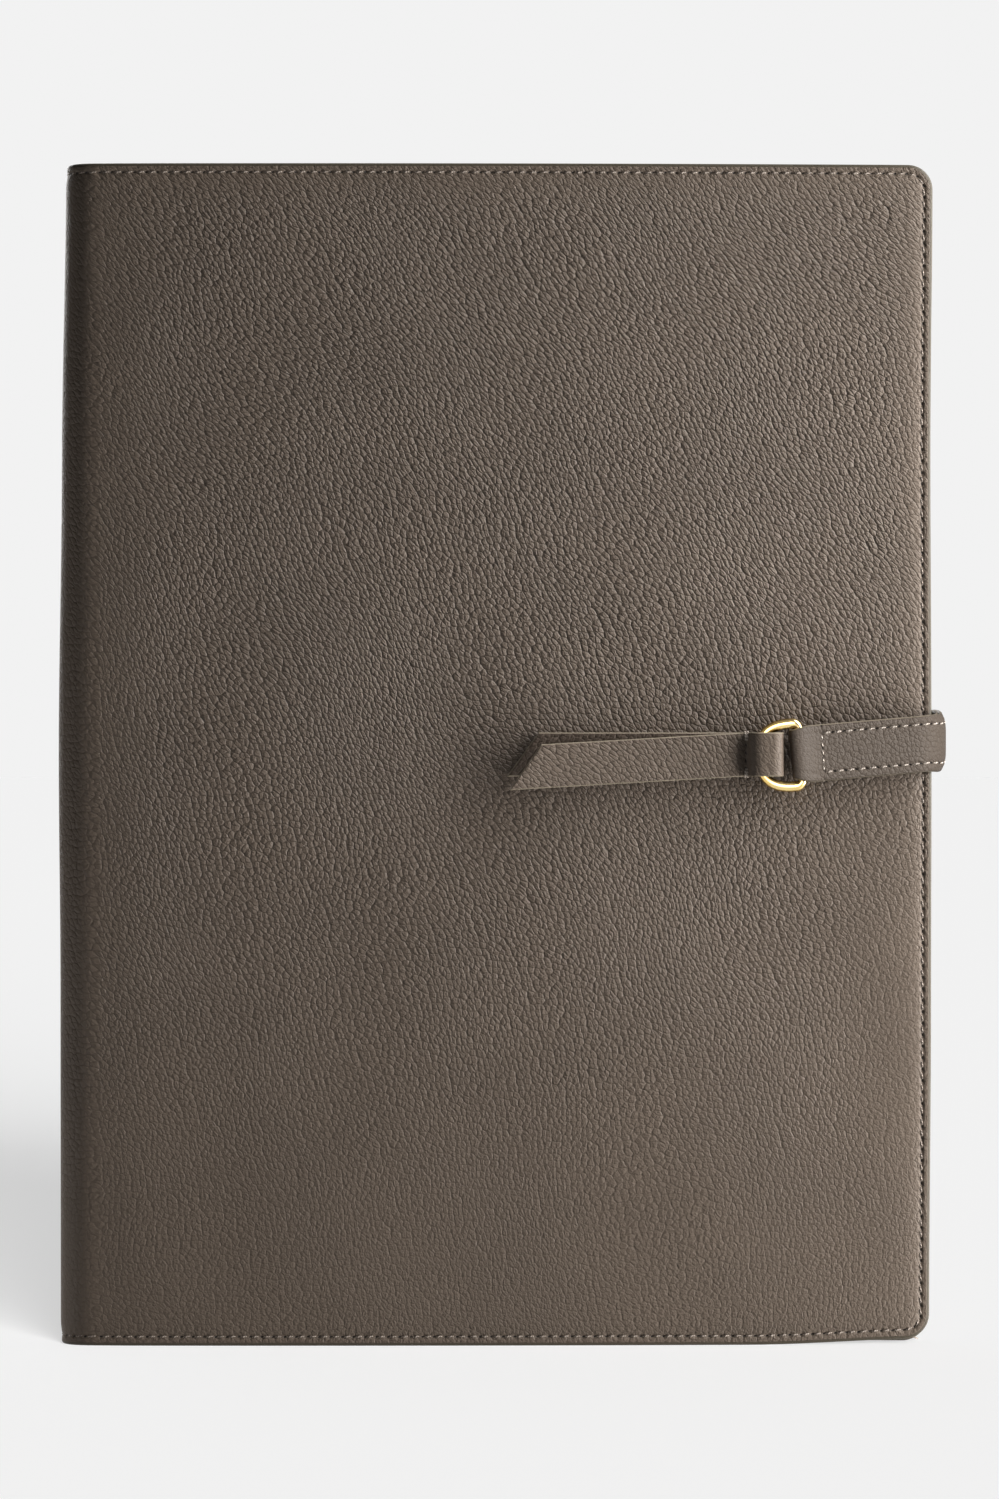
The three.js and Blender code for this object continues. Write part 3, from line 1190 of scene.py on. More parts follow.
@dataclass
class Ring:
    """The D-ring: one bent and soldered wire that lies on the front cover."""

    form: RingForm = RING_FORM
    sides: int = 28
    corner_steps: int = 10
    bow_steps: int = 56
    squareness: float = 0.75
    fullness: float = 0.2
    name: str = "gold_ring"
    slot: str = "ring_gold"

    @property
    def half_height(self) -> float:
        """Half the ring's height, at the middle of the wire."""
        return (self.form.height - self.form.wire) / 2

    def swept(self) -> BMesh:
        """Returns the flat ring in x and z, with its bar's middle at the origin and its bow towards -x.

        Returns:
            The ring's shape, in millimetres.
        """
        radius, corner, half = self.form.wire / 2, self.form.corner_radius, self.half_height
        bm = bmesh.new()
        section = bmesh.ops.create_circle(bm, segments=self.sides, radius=radius)["verts"]
        edges = list({edge for vert in section for edge in vert.link_edges})
        raised = bmesh.ops.extrude_edge_only(bm, edges=edges)["geom"]
        bmesh.ops.translate(bm, verts=only(raised, bmesh.types.BMVert), vec=(0, 0, half - corner))
        front = only(raised, bmesh.types.BMEdge)
        for centre, angle, steps in (
            ((-corner, 0, half - corner), math.pi / 2, self.corner_steps),
            ((-corner, 0, 0), math.pi, self.bow_steps),
            ((-corner, 0, corner - half), math.pi / 2, self.corner_steps),
        ):
            turned = bmesh.ops.spin(
                bm, geom=front, cent=centre, axis=(0, -1, 0), angle=angle, steps=steps, use_merge=False
            )
            front = only(turned["geom_last"], bmesh.types.BMEdge)
        bmesh.ops.bridge_loops(bm, edges=front + edges)
        self.stretch_bow(bm)
        bmesh.ops.recalc_face_normals(bm, faces=bm.faces)
        return bm

    def stretch_bow(self, bm: BMesh) -> None:
        """Draws the bow out to the ring's depth and squares it, with its wire fuller at the shoulders.

        Args:
            bm: the swept ring, which is changed.
        """
        corner, half = self.form.corner_radius, self.half_height
        reach = self.form.depth - self.form.wire - corner
        for vert in bm.verts:
            side = math.copysign(1.0, vert.co.z)
            if vert.co.x < -corner - TINY:
                angle = math.atan2(abs(vert.co.z), -corner - vert.co.x)
                out, up = math.cos(angle), math.sin(angle)
                wire = Vector((-corner - half * out, 0, side * half * up))
                power = self.squareness
                place = Vector((-corner - reach * out**power, 0, side * half * up**power))
            elif abs(vert.co.z) > half - corner:
                angle = math.atan2(abs(vert.co.z) - half + corner, vert.co.x + corner)
                up = math.sin(angle)
                wire = Vector((corner * (math.cos(angle) - 1), 0, side * (half - corner + corner * up)))
                place = wire
            else:
                continue
            vert.co = place + (vert.co - wire) * (1 + self.fullness * up**2)

    def build(self) -> Piece:
        """Returns the ring, leaning with the strap and lying along the cover's slope.

        Returns:
            The ring, without a finish.
        """
        form = self.form
        bm = self.swept()
        bar = on_front(form.bar, form.lift)
        slope = bar - on_front(form.bar - 1.0, form.lift)
        tilt = math.atan2(slope.y, slope.x)
        turn = Matrix.Rotation(tilt, 3, "Z") @ Matrix.Rotation(-math.radians(form.lean), 3, "Y")
        bmesh.ops.rotate(bm, verts=bm.verts, cent=(0, 0, 0), matrix=turn)
        for vert in bm.verts:
            vert.co = to_frame(Vector((bar.x, bar.y, form.level)) + vert.co)
        return finished(bm, self.name)


class Shading:
    """A node tree, with short calls for adding and wiring its nodes."""

    def __init__(self, tree: Tree) -> None:
        """Takes the tree to work on."""
        self.tree = tree

    def add(self, kind: str, inputs: Inputs, **settings: object) -> bpy.types.Node:
        """Adds a node.

        Args:
            kind: the node's type, without its ShaderNode prefix.
            inputs: socket names or numbers, each with a value or the socket that feeds it.
            settings: the node's own properties.

        Returns:
            The node.
        """
        node = self.tree.nodes.new("ShaderNode" + kind)
        for name, value in settings.items():
            setattr(node, name, value)
        for name, value in inputs.items():
            if isinstance(value, Socket):
                self.tree.links.new(value, node.inputs[name])
            else:
                node.inputs[name].default_value = value
        return node

    def math(self, operation: str, *values: object) -> Socket:
        """Returns the result of a Math node."""
        return self.add("Math", dict(enumerate(values)), operation=operation).outputs[0]

    def vector(self, operation: str, *values: object) -> Socket:
        """Returns the vector that a Vector Math node gives."""
        return self.add("VectorMath", dict(enumerate(values)), operation=operation).outputs[0]

    def between(self, value: Socket, low: float, high: float, first: float = 0, last: float = 1) -> Socket:
        """Returns a smooth step of a value from first, at low, to last, at high."""
        inputs = {"Value": value, "From Min": low, "From Max": high, "To Min": first, "To Max": last}
        return self.add("MapRange", inputs, interpolation_type="SMOOTHSTEP").outputs[0]

    def mix(self, share: Socket, first: object, second: object) -> Socket:
        """Returns a colour between two others."""
        return self.add("Mix", {0: share, 6: first, 7: second}, data_type="RGBA").outputs[2]

    def blend(self, share: Socket, first: object, second: object) -> Socket:
        """Returns a value between two others."""
        return self.add("Mix", {0: share, 2: first, 3: second}, data_type="FLOAT").outputs[0]

    def noise(self, place: Socket, scale: float, detail: float, solid: bool = False) -> Outputs:
        """Returns the value and the colour of a flat or solid noise."""
        inputs = {"Vector": place, "Scale": scale, "Detail": detail}
        return self.add("TexNoise", inputs, noise_dimensions="3D" if solid else "2D").outputs

    def split(self, vector: Socket) -> Outputs:
        """Returns the three parts of a vector."""
        return self.add("SeparateXYZ", {0: vector}).outputs

    def attribute(self, name: str, output: str = "Vector") -> Socket:
        """Returns a value kept on the piece's own points."""
        return self.add("Attribute", {}, attribute_name=name).outputs[output]

    def place(self) -> Socket:
        """Returns a point's place on its piece."""
        return self.add("TexCoord", {}).outputs["Object"]

    def bump(self, strength: float, depth: float, height: Socket) -> Socket:
        """Returns the normals of a surface raised by a height, at a depth in millimetres."""
        inputs = {"Strength": strength, "Distance": depth * MM, "Height": height}
        return self.add("Bump", inputs).outputs[0]

    def group(self, tree: Tree, inputs: Inputs) -> Outputs:
        """Returns the outputs of a placed group."""
        return self.add("Group", inputs, node_tree=tree).outputs


class SharedEffect(ABC):
    """A shader node group that several finishes use, built once."""

    name: str
    inputs: dict[str, str]
    outputs: tuple[str, ...]

    def tree(self) -> Tree:
        """Returns the group, made the first time it is asked for.

        Returns:
            The group's tree.
        """
        made = bpy.data.node_groups.get(self.name)
        if made:
            return made
        made = bpy.data.node_groups.new(self.name, "ShaderNodeTree")
        for name, kind in self.inputs.items():
            made.interface.new_socket(name=name, in_out="INPUT", socket_type="NodeSocket" + kind)
        for name in self.outputs:
            made.interface.new_socket(name=name, in_out="OUTPUT", socket_type="NodeSocketFloat")
        given = made.nodes.new("NodeGroupInput").outputs
        results = made.nodes.new("NodeGroupOutput").inputs
        for name, socket in self.wire(Shading(made), given).items():
            made.links.new(socket, results[name])
        return made

    @abstractmethod
    def wire(self, shading: Shading, given: Outputs) -> dict[str, Socket]:
        """Adds the group's nodes and returns the socket for each output."""


class CellDistance(Enum):
    """What a field of cells measures: the way to the nearest side, or to the cell's middle."""

    SIDE = "DISTANCE_TO_EDGE"
    MIDDLE = "SMOOTH_F1"


@dataclass(frozen=True)
class PebbleGrain(SharedEffect):
    """Pebbled leather: rounded cells that lean more the higher they lie, with creases between them."""

    name = "pebble_grain"
    inputs = {"Place": "Vector", **dict.fromkeys(("Cell", "Stretch", "Lean", "Bend", "Calm"), "Float")}
    outputs = ("Height", "Ridge", "Cloud")
    randomness: float = 0.8
    smoothness: float = 0.3
    sway: tuple[float, float, float] = (14.0, 10.0, 0.0)
    sway_scale: float = 0.013
    warp: tuple[float, float, float] = (0.5, 0.5, 0.0)
    warp_scale: float = 0.55
    uneven_scale: float = 0.7
    uneven_range: tuple[float, float] = (0.35, 0.65)
    shallowest: float = 0.6
    crease_half: float = 0.18
    crease_depth: float = 0.34
    hollow_depth: float = 1.45
    fine_scale: float = 2.5
    fine_depth: float = 0.85
    quiet_depth: float = 0.35
    quiet_level: float = 0.9
    dip_half: float = 0.14
    cloud_scale: float = 0.03

    def wire(self, shading: Shading, given: Outputs) -> dict[str, Socket]:
        """Adds the grain's nodes.

        Args:
            shading: the group's tree to work on.
            given: the group's inputs.

        Returns:
            The socket for each of the group's outputs.
        """
        place, calm = given["Place"], given["Calm"]
        laid = self.laid(shading, given)
        edge = self.cells(shading, laid, CellDistance.SIDE)
        near = self.cells(shading, laid, CellDistance.MIDDLE)
        uneven = shading.noise(place, self.uneven_scale, detail=1.0)[0]
        depth = shading.between(uneven, *self.uneven_range, self.shallowest, 1.0)
        crease = shading.math("MULTIPLY", shading.between(edge, self.crease_half, 0.0), depth)
        hollow = shading.math("MULTIPLY", shading.math("MULTIPLY", near, near), self.hollow_depth)
        sunk = shading.math("MULTIPLY_ADD", crease, self.crease_depth, hollow)
        fine = shading.noise(laid, self.fine_scale, detail=2.0)[0]
        bumped = shading.math("MULTIPLY_ADD", fine, self.fine_depth, shading.math("SUBTRACT", 1.0, sunk))
        quiet = shading.math("MULTIPLY_ADD", fine, self.quiet_depth, self.quiet_level)
        # The dip lowers Ridge in the creases, where the finish paints shade and makes the leather rougher.
        dip = shading.math("MULTIPLY", shading.between(edge, self.dip_half, 0.0), depth)
        return {
            "Height": shading.blend(calm, bumped, quiet),
            "Ridge": shading.blend(calm, shading.math("SUBTRACT", 1.0, dip), self.quiet_level),
            "Cloud": shading.noise(place, self.cloud_scale, detail=3.0)[0],
        }

    def laid(self, shading: Shading, given: Outputs) -> Socket:
        """Returns the leather's flat place in cells: swayed, sheared along its lean and drawn out.

        Args:
            shading: the group's tree to work on.
            given: the group's inputs.

        Returns:
            The place, with cells as its unit.
        """
        place = moved = given["Place"]
        half = (0.5, 0.5, 0.5)
        for reach, scale, detail in ((self.sway, self.sway_scale, 1.0), (self.warp, self.warp_scale, 2.0)):
            drift = shading.vector("SUBTRACT", shading.noise(place, scale, detail)["Color"], half)
            moved = shading.vector("MULTIPLY_ADD", drift, reach, moved)
        across, up, _ = shading.split(moved)
        lean = shading.math("MULTIPLY_ADD", up, given["Bend"], given["Lean"])
        sheared = shading.math("MULTIPLY_ADD", up, lean, across)
        columns = shading.math("DIVIDE", sheared, given["Cell"])
        rows = shading.math("DIVIDE", shading.math("DIVIDE", up, given["Cell"]), given["Stretch"])
        return shading.add("CombineXYZ", {0: columns, 1: rows}).outputs[0]

    def cells(self, shading: Shading, place: Socket, measure: CellDistance) -> Socket:
        """Returns a distance in a field of cells.

        Args:
            shading: the group's tree to work on.
            place: the place, with cells as its unit.
            measure: which distance it is.

        Returns:
            The distance, with cells as its unit.
        """
        inputs = {"Vector": place, "Scale": 1.0, "Randomness": self.randomness}
        if measure is CellDistance.MIDDLE:
            inputs["Smoothness"] = self.smoothness
        settings = {"voronoi_dimensions": "2D", "feature": measure.value}
        return shading.add("TexVoronoi", inputs, **settings).outputs["Distance"]


@dataclass(frozen=True)
class SewnBorder(SharedEffect):
    """A leather piece's border: needle holes along its seam, and paint on its edge."""

    name = "sewn_border"
    inputs = {"Seam": "Vector", **dict.fromkeys(("Pitch", "Slit", "Band"), "Float")}
    outputs = ("Hole", "Pucker", "Paint")
    slant: float = 0.25
    hole_half: float = 0.34
    hole_core: float = 0.35
    pucker_reach: float = 2.6
    pucker_core: float = 0.6
    paint_soft: float = 0.08

    def wire(self, shading: Shading, given: Outputs) -> dict[str, Socket]:
        """Adds the border's nodes.

        Args:
            shading: the group's tree to work on.
            given: the group's inputs.

        Returns:
            The socket for each of the group's outputs.
        """
        edge, across, stitched = shading.split(given["Seam"])
        steps = shading.math("DIVIDE", stitched, given["Pitch"])
        phase = shading.math("SUBTRACT", steps, shading.math("ROUND", steps))
        from_hole = shading.math("MULTIPLY", phase, given["Pitch"])
        slanted = shading.math("MULTIPLY_ADD", from_hole, self.slant, across)
        long_share = shading.math("DIVIDE", from_hole, given["Slit"])
        wide_share = shading.math("DIVIDE", slanted, self.hole_half)
        squares = [shading.math("MULTIPLY", share, share) for share in (long_share, wide_share)]
        far = shading.math("SQRT", shading.math("ADD", *squares))
        inward = shading.math("SUBTRACT", edge, given["Band"])
        # Hole marks the needle holes, which the finish both sinks and darkens as painted shade.
        return {
            "Hole": shading.between(far, 1.0, self.hole_core),
            "Pucker": shading.between(far, self.pucker_reach, self.pucker_core),
            "Paint": shading.between(inward, self.paint_soft, -self.paint_soft),
        }


def new_material(name: str) -> tuple[Material, Shading]:
    """Returns an empty material and its tree to work on.

    Args:
        name: the material's name.

    Returns:
        The material, and the calls that work on its tree.
    """
    material = bpy.data.materials.new(name)
    material.use_nodes = True
    material.node_tree.nodes.clear()
    return material, Shading(material.node_tree)


def surface(shading: Shading, inputs: Inputs) -> None:
    """Ends a material with its Principled shader."""
    shader = shading.add("BsdfPrincipled", inputs)
    shading.add("OutputMaterial", {"Surface": shader.outputs[0]})


@dataclass(frozen=True)
class LeatherFinish:
    """Pebbled leather with painted edges and a napped flesh side, darkened as painted shade in its creases
    and needle holes.
    """

    name: str
    ridge: Colour = srgb(93, 82, 72)
    # The crease colour is painted shade: the leather darkens to it in the creases between the pebbles.
    crease: Colour = srgb(74, 64, 56)
    nap: Colour = srgb(80, 69, 60)
    # The hole colour is painted shade: the needle holes are darkened as if in shadow.
    hole: Colour = srgb(26, 21, 18)
    paint: Colour = srgb(72, 66, 56)
    cell: float = 1.5
    stretch: float = 1.15
    lean: float = 0.08
    bend: float = 0.00088
    grain_depth: float = 0.35
    pitch: float = 3.25
    slit: float = 0.58
    band: float = 0.85
    clouding: float = 0.04
    cloud_range: tuple[float, float] = (0.3, 0.7)
    nap_soft: float = 0.2
    rough: float = 0.75
    smooth: float = 0.52
    painted: float = 0.46
    paint_level: float = 0.6
    pucker_depth: float = 0.5
    hole_depth: float = 0.9
    specular: float = 0.22

    def material(self) -> Material:
        """Returns the leather's material.

        Returns:
            A material that reads the flat, seam and calm attributes of a leather piece.
        """
        material, shading = new_material(self.name)
        place = shading.attribute("flat")
        grain = shading.group(PebbleGrain().tree(), {
            "Place": place,
            "Cell": self.cell,
            "Stretch": self.stretch,
            "Lean": self.lean,
            "Bend": self.bend,
            "Calm": shading.attribute("calm", "Fac"),
        })
        border = shading.group(SewnBorder().tree(), {
            "Seam": shading.attribute("seam"),
            "Pitch": self.pitch,
            "Slit": self.slit,
            "Band": self.band,
        })
        # Painted shade: the colour darkens towards the crease colour where Ridge drops in the creases.
        leather = shading.mix(grain["Ridge"], self.crease, self.ridge)
        shade = shading.between(grain["Cloud"], *self.cloud_range, 1 - self.clouding, 1 + self.clouding)
        leather = shading.add("VectorMath", {0: leather, "Scale": shade}, operation="SCALE").outputs[0]
        flesh = shading.between(shading.split(place)[2], self.nap_soft, -self.nap_soft)
        leather = shading.mix(flesh, leather, self.nap)
        # Painted shade in the needle holes.
        hole_shaded = shading.mix(border["Hole"], leather, self.hole)
        gloss = shading.between(grain["Ridge"], 0.0, 1.0, self.rough, self.smooth)
        sunk = shading.math("MULTIPLY_ADD", border["Pucker"], -self.pucker_depth, grain["Height"])
        sunk = shading.math("MULTIPLY_ADD", border["Hole"], -self.hole_depth, sunk)
        height = shading.blend(border["Paint"], sunk, self.paint_level)
        surface(shading, {
            "Base Color": shading.mix(border["Paint"], hole_shaded, self.paint),
            "Roughness": shading.blend(border["Paint"], gloss, self.painted),
            "Normal": shading.bump(1.0, self.grain_depth, height),
            "Specular IOR Level": self.specular,
        })
        return material


@dataclass(frozen=True)
class ThreadFinish:
    """Waxed thread, twisted from yarns, with painted shade in the grooves between them."""

    name: str
    light: Colour
    groove_shade: Colour
    twist: float = 0.9
    ply_range: tuple[float, float] = (-0.9, 0.4)
    ply_depth: float = 0.12
    ply_strength: float = 0.5
    wear_scale: float = 260.0
    fade_range: tuple[float, float] = (0.25, 0.6)
    faded: float = 0.7
    gloss_range: tuple[float, float] = (0.3, 0.7)
    smooth: float = 0.5
    rough: float = 0.7

    def material(self) -> Material:
        """Returns the thread's material.

        Returns:
            A material that reads the lay attribute of the stitches.
        """
        material, shading = new_material(self.name)
        along, side, up = shading.split(shading.attribute("lay"))
        angle = shading.math("MULTIPLY", along, 2 * math.pi / self.twist)
        first = shading.math("MULTIPLY", shading.math("SINE", angle), side)
        strand = shading.math("MULTIPLY_ADD", shading.math("COSINE", angle), up, first)
        ply = shading.between(strand, *self.ply_range)
        wear = shading.noise(shading.place(), self.wear_scale, detail=2.0, solid=True)[0]
        # Painted shade: the groove colour fills the grooves between the twisted yarns.
        share = shading.math("MULTIPLY", ply, shading.between(wear, *self.fade_range, self.faded, 1.0))
        surface(shading, {
            "Base Color": shading.mix(share, self.groove_shade, self.light),
            "Roughness": shading.between(wear, *self.gloss_range, self.smooth, self.rough),
            "Normal": shading.bump(self.ply_strength, self.ply_depth, ply),
        })
        return material


@dataclass(frozen=True)
class MetalFinish:
    """Plated or bare metal with fine rubbing marks."""

    name: str
    bright: Colour
    dull: Colour
    smooth: float
    rough: float
    marks: float
    drawn: tuple[float, float, float] = (1.0, 1.0, 0.25)
    cloud_scale: float = 90.0
    wear_range: tuple[float, float] = (0.35, 0.7)
    mark_range: tuple[float, float] = (0.3, 0.7)
    mark_depth: float = 0.02
    mark_strength: float = 0.25

    def material(self) -> Material:
        """Returns the metal's material.

        Returns:
            A material that reads a point's place on its piece.
        """
        material, shading = new_material(self.name)
        place = shading.place()
        drawn = shading.vector("MULTIPLY", place, self.drawn)
        rubbed = shading.noise(drawn, self.marks, detail=4.0, solid=True)[0]
        cloudy = shading.noise(place, self.cloud_scale, detail=2.0, solid=True)[0]
        wear = shading.between(cloudy, *self.wear_range)
        surface(shading, {
            "Base Color": shading.mix(wear, self.bright, self.dull),
            "Metallic": 1.0,
            "Roughness": shading.between(rubbed, *self.mark_range, self.smooth, self.rough),
            "Normal": shading.bump(self.mark_strength, self.mark_depth, rubbed),
        })
        return material


@dataclass(frozen=True)
class FloorFinish:
    """Plain matt paper."""

    name: str = "floor_paper"
    paper: Colour = (0.5, 0.5, 0.5, 1.0)
    roughness: float = 0.9
    glow: float = 0.545

    def material(self) -> Material:
        """Returns the floor's material.

        Returns:
            A plain material, with a glow that evens the paper out.
        """
        material, shading = new_material(self.name)
        surface(shading, {
            "Base Color": self.paper,
            "Roughness": self.roughness,
            "Specular IOR Level": 0.0,
            "Emission Color": WHITE,
            "Emission Strength": self.glow,
        })
        return material


class Receiver(Enum):
    """What a light falls on."""

    HOLDER = "holder"
    UNSTRAPPED = "holder without its strap"
    STRAP = "strap"
    METAL = "metal"
    FLOOR = "floor"


@dataclass(frozen=True)
class SoftLight:
    """A soft light that looks at a point, with its places and sizes in metres."""

    name: str
    place: tuple[float, float, float]
    target: tuple[float, float, float]
    power: float
    size: tuple[float, float] = (0.5, 0.5)
    spread: float = 0.0
    falls_on: Receiver = Receiver.HOLDER

    def collected(self, purpose: str, pieces: Sequence[Piece]) -> bpy.types.Collection:
        """Returns a collection of the pieces that the light falls on, or that block it.

        Args:
            purpose: what the collection is for, as its name says.
            pieces: the pieces to collect.

        Returns:
            The collection.
        """
        made = bpy.data.collections.new(f"{self.name}_{purpose}")
        for piece in pieces:
            made.objects.link(piece)
        return made

    def build(self, receivers: Sequence[Piece], blockers: Sequence[Piece]) -> Piece:
        """Returns the placed light, a far one where it has a spread and a rectangle elsewhere.

        Args:
            receivers: the pieces that it falls on.
            blockers: the pieces that cast shadows in it.

        Returns:
            The light.
        """
        data = bpy.data.lights.new(self.name, "SUN" if self.spread else "AREA")
        data.energy = self.power
        if self.spread:
            data.angle = math.radians(self.spread)
        else:
            data.shape = "RECTANGLE"
            data.size, data.size_y = self.size
        lamp = in_scene(self.name, data)
        lamp.location = self.place
        aim = Vector(self.target) - Vector(self.place)
        lamp.rotation_euler = aim.to_track_quat("-Z", "Y").to_euler()
        lamp.light_linking.receiver_collection = self.collected("receivers", receivers)
        if self.falls_on not in (Receiver.METAL, Receiver.FLOOR):
            lamp.light_linking.blocker_collection = self.collected("blockers", blockers)
        return lamp


FOOT = (0.0, 0.0, 0.0)
STRAP_END = (0.1, 0.0, 0.17)
RING_PLACE = (0.08, 0.0, 0.17)


@dataclass
class Studio:
    """The floor, the light and the camera, in metres but for the camera's lens and its aim."""

    distance: float = 1.495
    lens: float = 127.2
    sensor: float = 36.0
    clip_end: float = 100.0
    aim_along: float = 123.08
    aim_height: float = 168.4
    backdrop: float = 0.887
    ambient: float = 0.02
    sheen: float = 0.3
    floor_reach: float = 30.0
    lights: tuple[SoftLight, ...] = (
        SoftLight(
            "key_light",
            place=(0.58, -0.125, 0.32),
            target=(0.0, 0.0, 0.28),
            power=27.5,
            size=(0.3, 1.6),
            falls_on=Receiver.UNSTRAPPED,
        ),
        SoftLight(
            "strap_light",
            place=(0.55, -0.45, 0.35),
            target=STRAP_END,
            power=10.9,
            size=(0.4, 0.4),
            falls_on=Receiver.STRAP,
        ),
        SoftLight(
            "bounce_light",
            place=(-0.06, -0.5, 0.0),
            target=(0.0, 0.0, 0.08),
            power=0.15,
            size=(0.4, 0.3),
        ),
        SoftLight(
            "spine_light",
            place=(-0.45, -0.12, -0.02),
            target=(-0.12, 0.0, 0.06),
            power=0.42,
            size=(0.2, 0.2),
        ),
        SoftLight(
            "back_light",
            place=(-0.6, 1.1, 0.7),
            target=(0.0, 0.0, 0.16),
            power=16.0,
            size=(0.9, 0.9),
        ),
        SoftLight(
            "gleam_light",
            place=(0.05, -1.0, 0.4),
            target=RING_PLACE,
            power=10.0,
            size=(0.8, 0.8),
            falls_on=Receiver.METAL,
        ),
        SoftLight(
            "floor_light",
            place=(0.3, -1.0, 0.22),
            target=FOOT,
            power=8.2,
            spread=26.0,
            falls_on=Receiver.FLOOR,
        ),
        SoftLight(
            "floor_sky",
            place=(0.0, 0.6, 0.8),
            target=FOOT,
            power=0.45,
            spread=100.0,
            falls_on=Receiver.FLOOR,
        ),
    )

    def camera(self) -> None:
        """Sets the level camera in front of the holder."""
        data = bpy.data.cameras.new("photo_camera")
        data.lens = self.lens
        data.sensor_width = self.sensor
        data.clip_end = self.clip_end
        camera = in_scene("photo_camera", data)
        aim = to_frame(Vector((self.aim_along, -COVER_FORM.spine_radius, self.aim_height)))
        camera.location = aim - Vector((0, self.distance, 0))
        camera.rotation_euler = (math.pi / 2, 0, 0)
        bpy.context.scene.camera = camera

    def floor(self) -> Piece:
        """Returns the wide floor, which sheds no light of its own on the leather.

        Returns:
            The floor.
        """
        bm = bmesh.new()
        bmesh.ops.create_grid(bm, x_segments=2, y_segments=2, size=self.floor_reach)
        floor = finished(bm, "studio_floor")
        floor.data.materials.append(FloorFinish().material())
        floor.visible_diffuse = False
        return floor

    def world(self) -> None:
        """Sets a pale backdrop, with softer light on the holder than the camera sees."""
        world = bpy.data.worlds.new("studio_world")
        world.use_nodes = True
        world.node_tree.nodes.clear()
        shading = Shading(world.node_tree)
        rays = shading.add("LightPath", {}).outputs
        shed = shading.blend(rays["Is Glossy Ray"], self.ambient, self.sheen)
        strength = shading.blend(rays["Is Camera Ray"], shed, self.backdrop)
        sky = shading.add("Background", {"Color": WHITE, "Strength": strength})
        shading.add("OutputWorld", {"Surface": sky.outputs[0]})
        scene = bpy.context.scene
        scene.world = world
        scene.view_settings.view_transform = "Standard"

    def build(self, pieces: dict[Receiver, list[Piece]]) -> None:
        """Makes the whole studio round the holder's pieces.

        Args:
            pieces: the holder's pieces, by what lights them.
        """
        self.camera()
        self.world()
        receivers = {**pieces, Receiver.FLOOR: [self.floor()]}
        for light in self.lights:
            light.build(receivers[light.falls_on], pieces[Receiver.HOLDER])
        LOG.info("studio: %d lights", len(self.lights))


def dress(piece: Piece, material: Material, slot: str, *nodes: str) -> Piece:
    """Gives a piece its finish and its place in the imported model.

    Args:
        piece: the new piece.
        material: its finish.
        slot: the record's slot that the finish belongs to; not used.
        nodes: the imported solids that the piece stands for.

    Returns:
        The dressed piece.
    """
    piece.data.materials.append(material)
    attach(piece, BODY)
    if nodes:
        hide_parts(*nodes)
    LOG.info("%s: %d faces", piece.name, len(piece.data.polygons))
    return piece


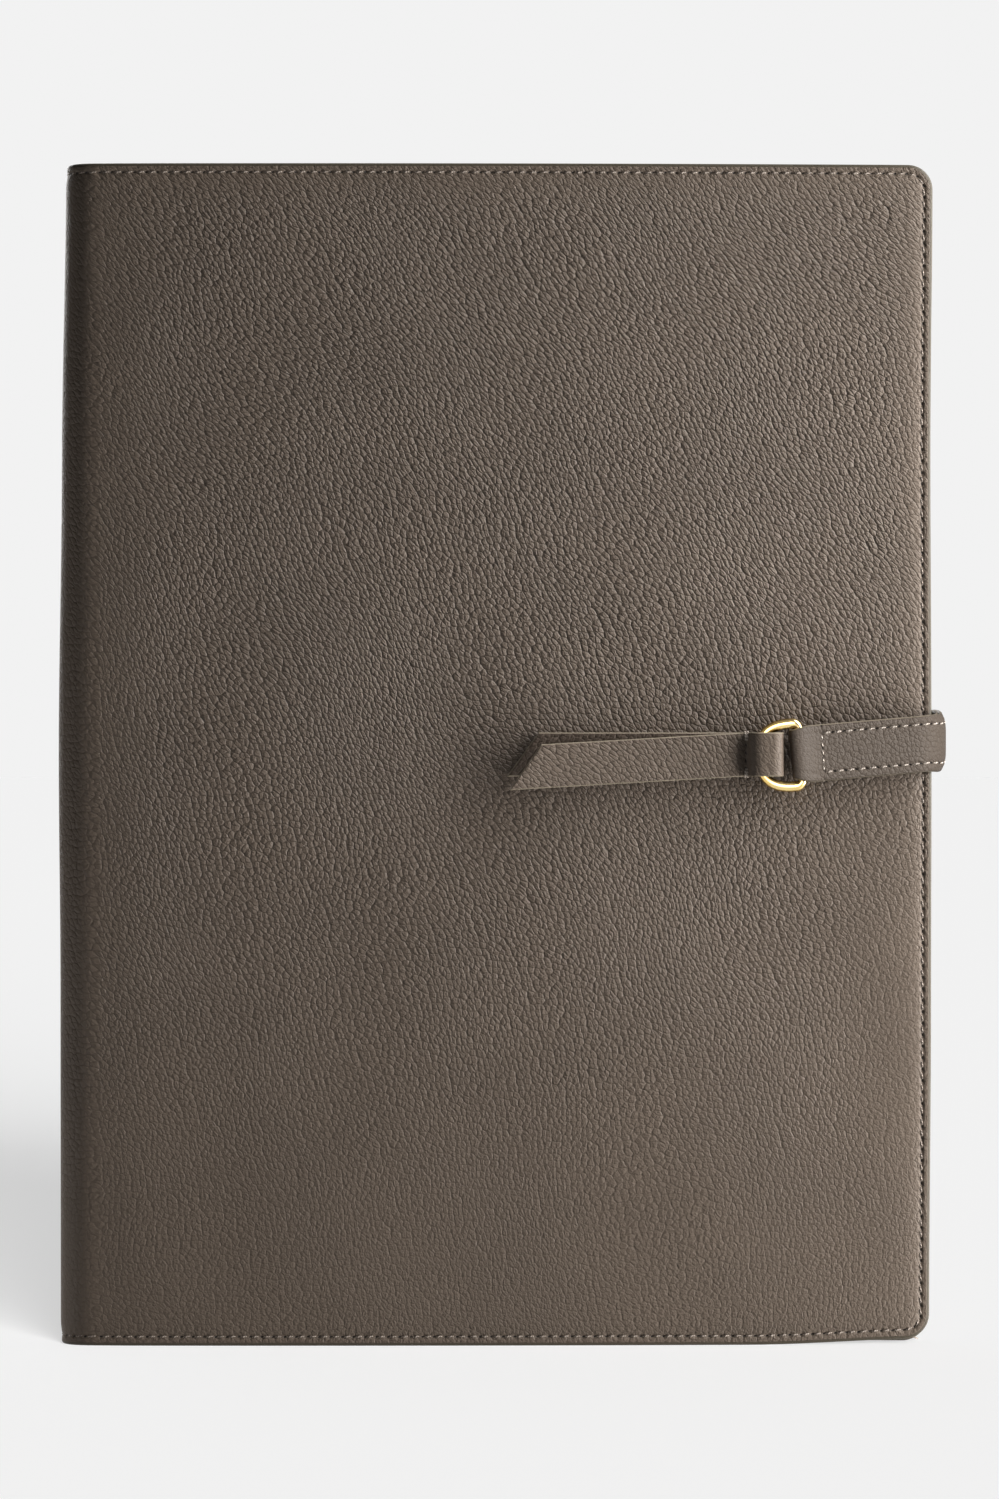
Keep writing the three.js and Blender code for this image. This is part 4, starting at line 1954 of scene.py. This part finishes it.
@dataclass
class Holder:
    """The whole notebook holder, from its leather to its thread."""

    cover: Cover = field(default_factory=Cover)
    strap: Strap = field(default_factory=Strap)
    tab: Tab = field(default_factory=Tab)
    ring: Ring = field(default_factory=Ring)

    def build(self) -> dict[Receiver, list[Piece]]:
        """Makes and dresses every piece, and returns them by what lights them.

        Returns:
            The pieces that each kind of light falls on.
        """
        leather, metal, sewing = self.leather(), self.metal(), self.sewing()
        pieces = leather + metal + sewing
        strap = [piece for piece in leather if piece.name == self.strap.name]
        return {
            Receiver.HOLDER: pieces,
            Receiver.UNSTRAPPED: [piece for piece in pieces if piece not in strap],
            Receiver.STRAP: strap,
            Receiver.METAL: metal,
        }

    def leather(self) -> list[Piece]:
        """Returns the cover, the strap and the tab.

        Returns:
            The three pieces, dressed.
        """
        cover = LeatherFinish("pebbled_cover", pitch=self.cover.pitch)
        strap = LeatherFinish(
            "pebbled_strap",
            ridge=srgb(86, 77, 69),
            # This edge paint is lighter than the cover's as painted highlight on the strap's edges, which
            # face the light.
            paint=srgb(120, 110, 96),
            cell=1.2,
            lean=0.2,
            bend=0.0,
            grain_depth=0.36,
            pitch=self.strap.pitch,
            slit=0.6,
            band=0.3,
        )
        tab = LeatherFinish(
            "pebbled_tab",
            # This edge paint is lighter than the cover's as painted highlight on the tab's edges, which
            # face the light.
            paint=srgb(126, 116, 101),
            lean=0.6,
            bend=0.0,
            grain_depth=0.2,
            pitch=2.2,
            slit=0.7,
            band=0.3,
        )
        return [
            dress(self.cover.build(), cover.material(), self.cover.slot, "cover"),
            dress(self.strap.build(), strap.material(), self.strap.slot, "closure_strap"),
            dress(self.tab.build(), tab.material(), self.tab.slot, "pull_tab"),
        ]

    def metal(self) -> list[Piece]:
        """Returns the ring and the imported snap, which keeps its own mesh.

        Returns:
            The two pieces, dressed.
        """
        gold = MetalFinish(
            "gold_plate",
            bright=srgb(248, 220, 154),
            dull=srgb(234, 198, 122),
            smooth=0.14,
            rough=0.26,
            marks=420.0,
        )
        steel = MetalFinish(
            "brushed_steel",
            bright=srgb(190, 190, 188),
            dull=srgb(150, 150, 150),
            smooth=0.25,
            rough=0.42,
            marks=600.0,
        )
        snap = bpy.data.objects["snap_disc"]
        for slot in snap.material_slots:
            slot.material = steel.material()
        LOG.info("%s: kept, with a new finish", snap.name)
        return [dress(self.ring.build(), gold.material(), self.ring.slot, "d_ring"), snap]

    def sewing(self) -> list[Piece]:
        """Returns the stitches of the cover, the strap and the tab.

        Returns:
            The four pieces, dressed.
        """
        # The cover's stitches use the same thread, darker as painted shade where it lies sunk in its
        # groove.
        sunk = ThreadFinish("groove_shaded_thread", light=srgb(158, 145, 133), groove_shade=srgb(88, 78, 71)).material()
        raised = ThreadFinish("raised_thread", light=srgb(182, 170, 158), groove_shade=srgb(104, 94, 85)).material()
        cover = CoverSeam(self.cover)
        return [
            dress(piece, thread, "stitch_thread")
            for piece, thread in (
                (cover.build(Face.GRAIN, "cover_stitches"), sunk),
                (cover.build(Face.FLESH, "inner_stitches"), sunk),
                (StrapSeam(self.strap).build(), raised),
                (TabTack(self.tab).build(), raised),
            )
        ]


def main() -> None:
    """Builds the holder, then the studio round it."""
    logging.basicConfig(level=logging.INFO, format="%(message)s")
    Studio().build(Holder().build())


if __name__ == "__main__":
    main()
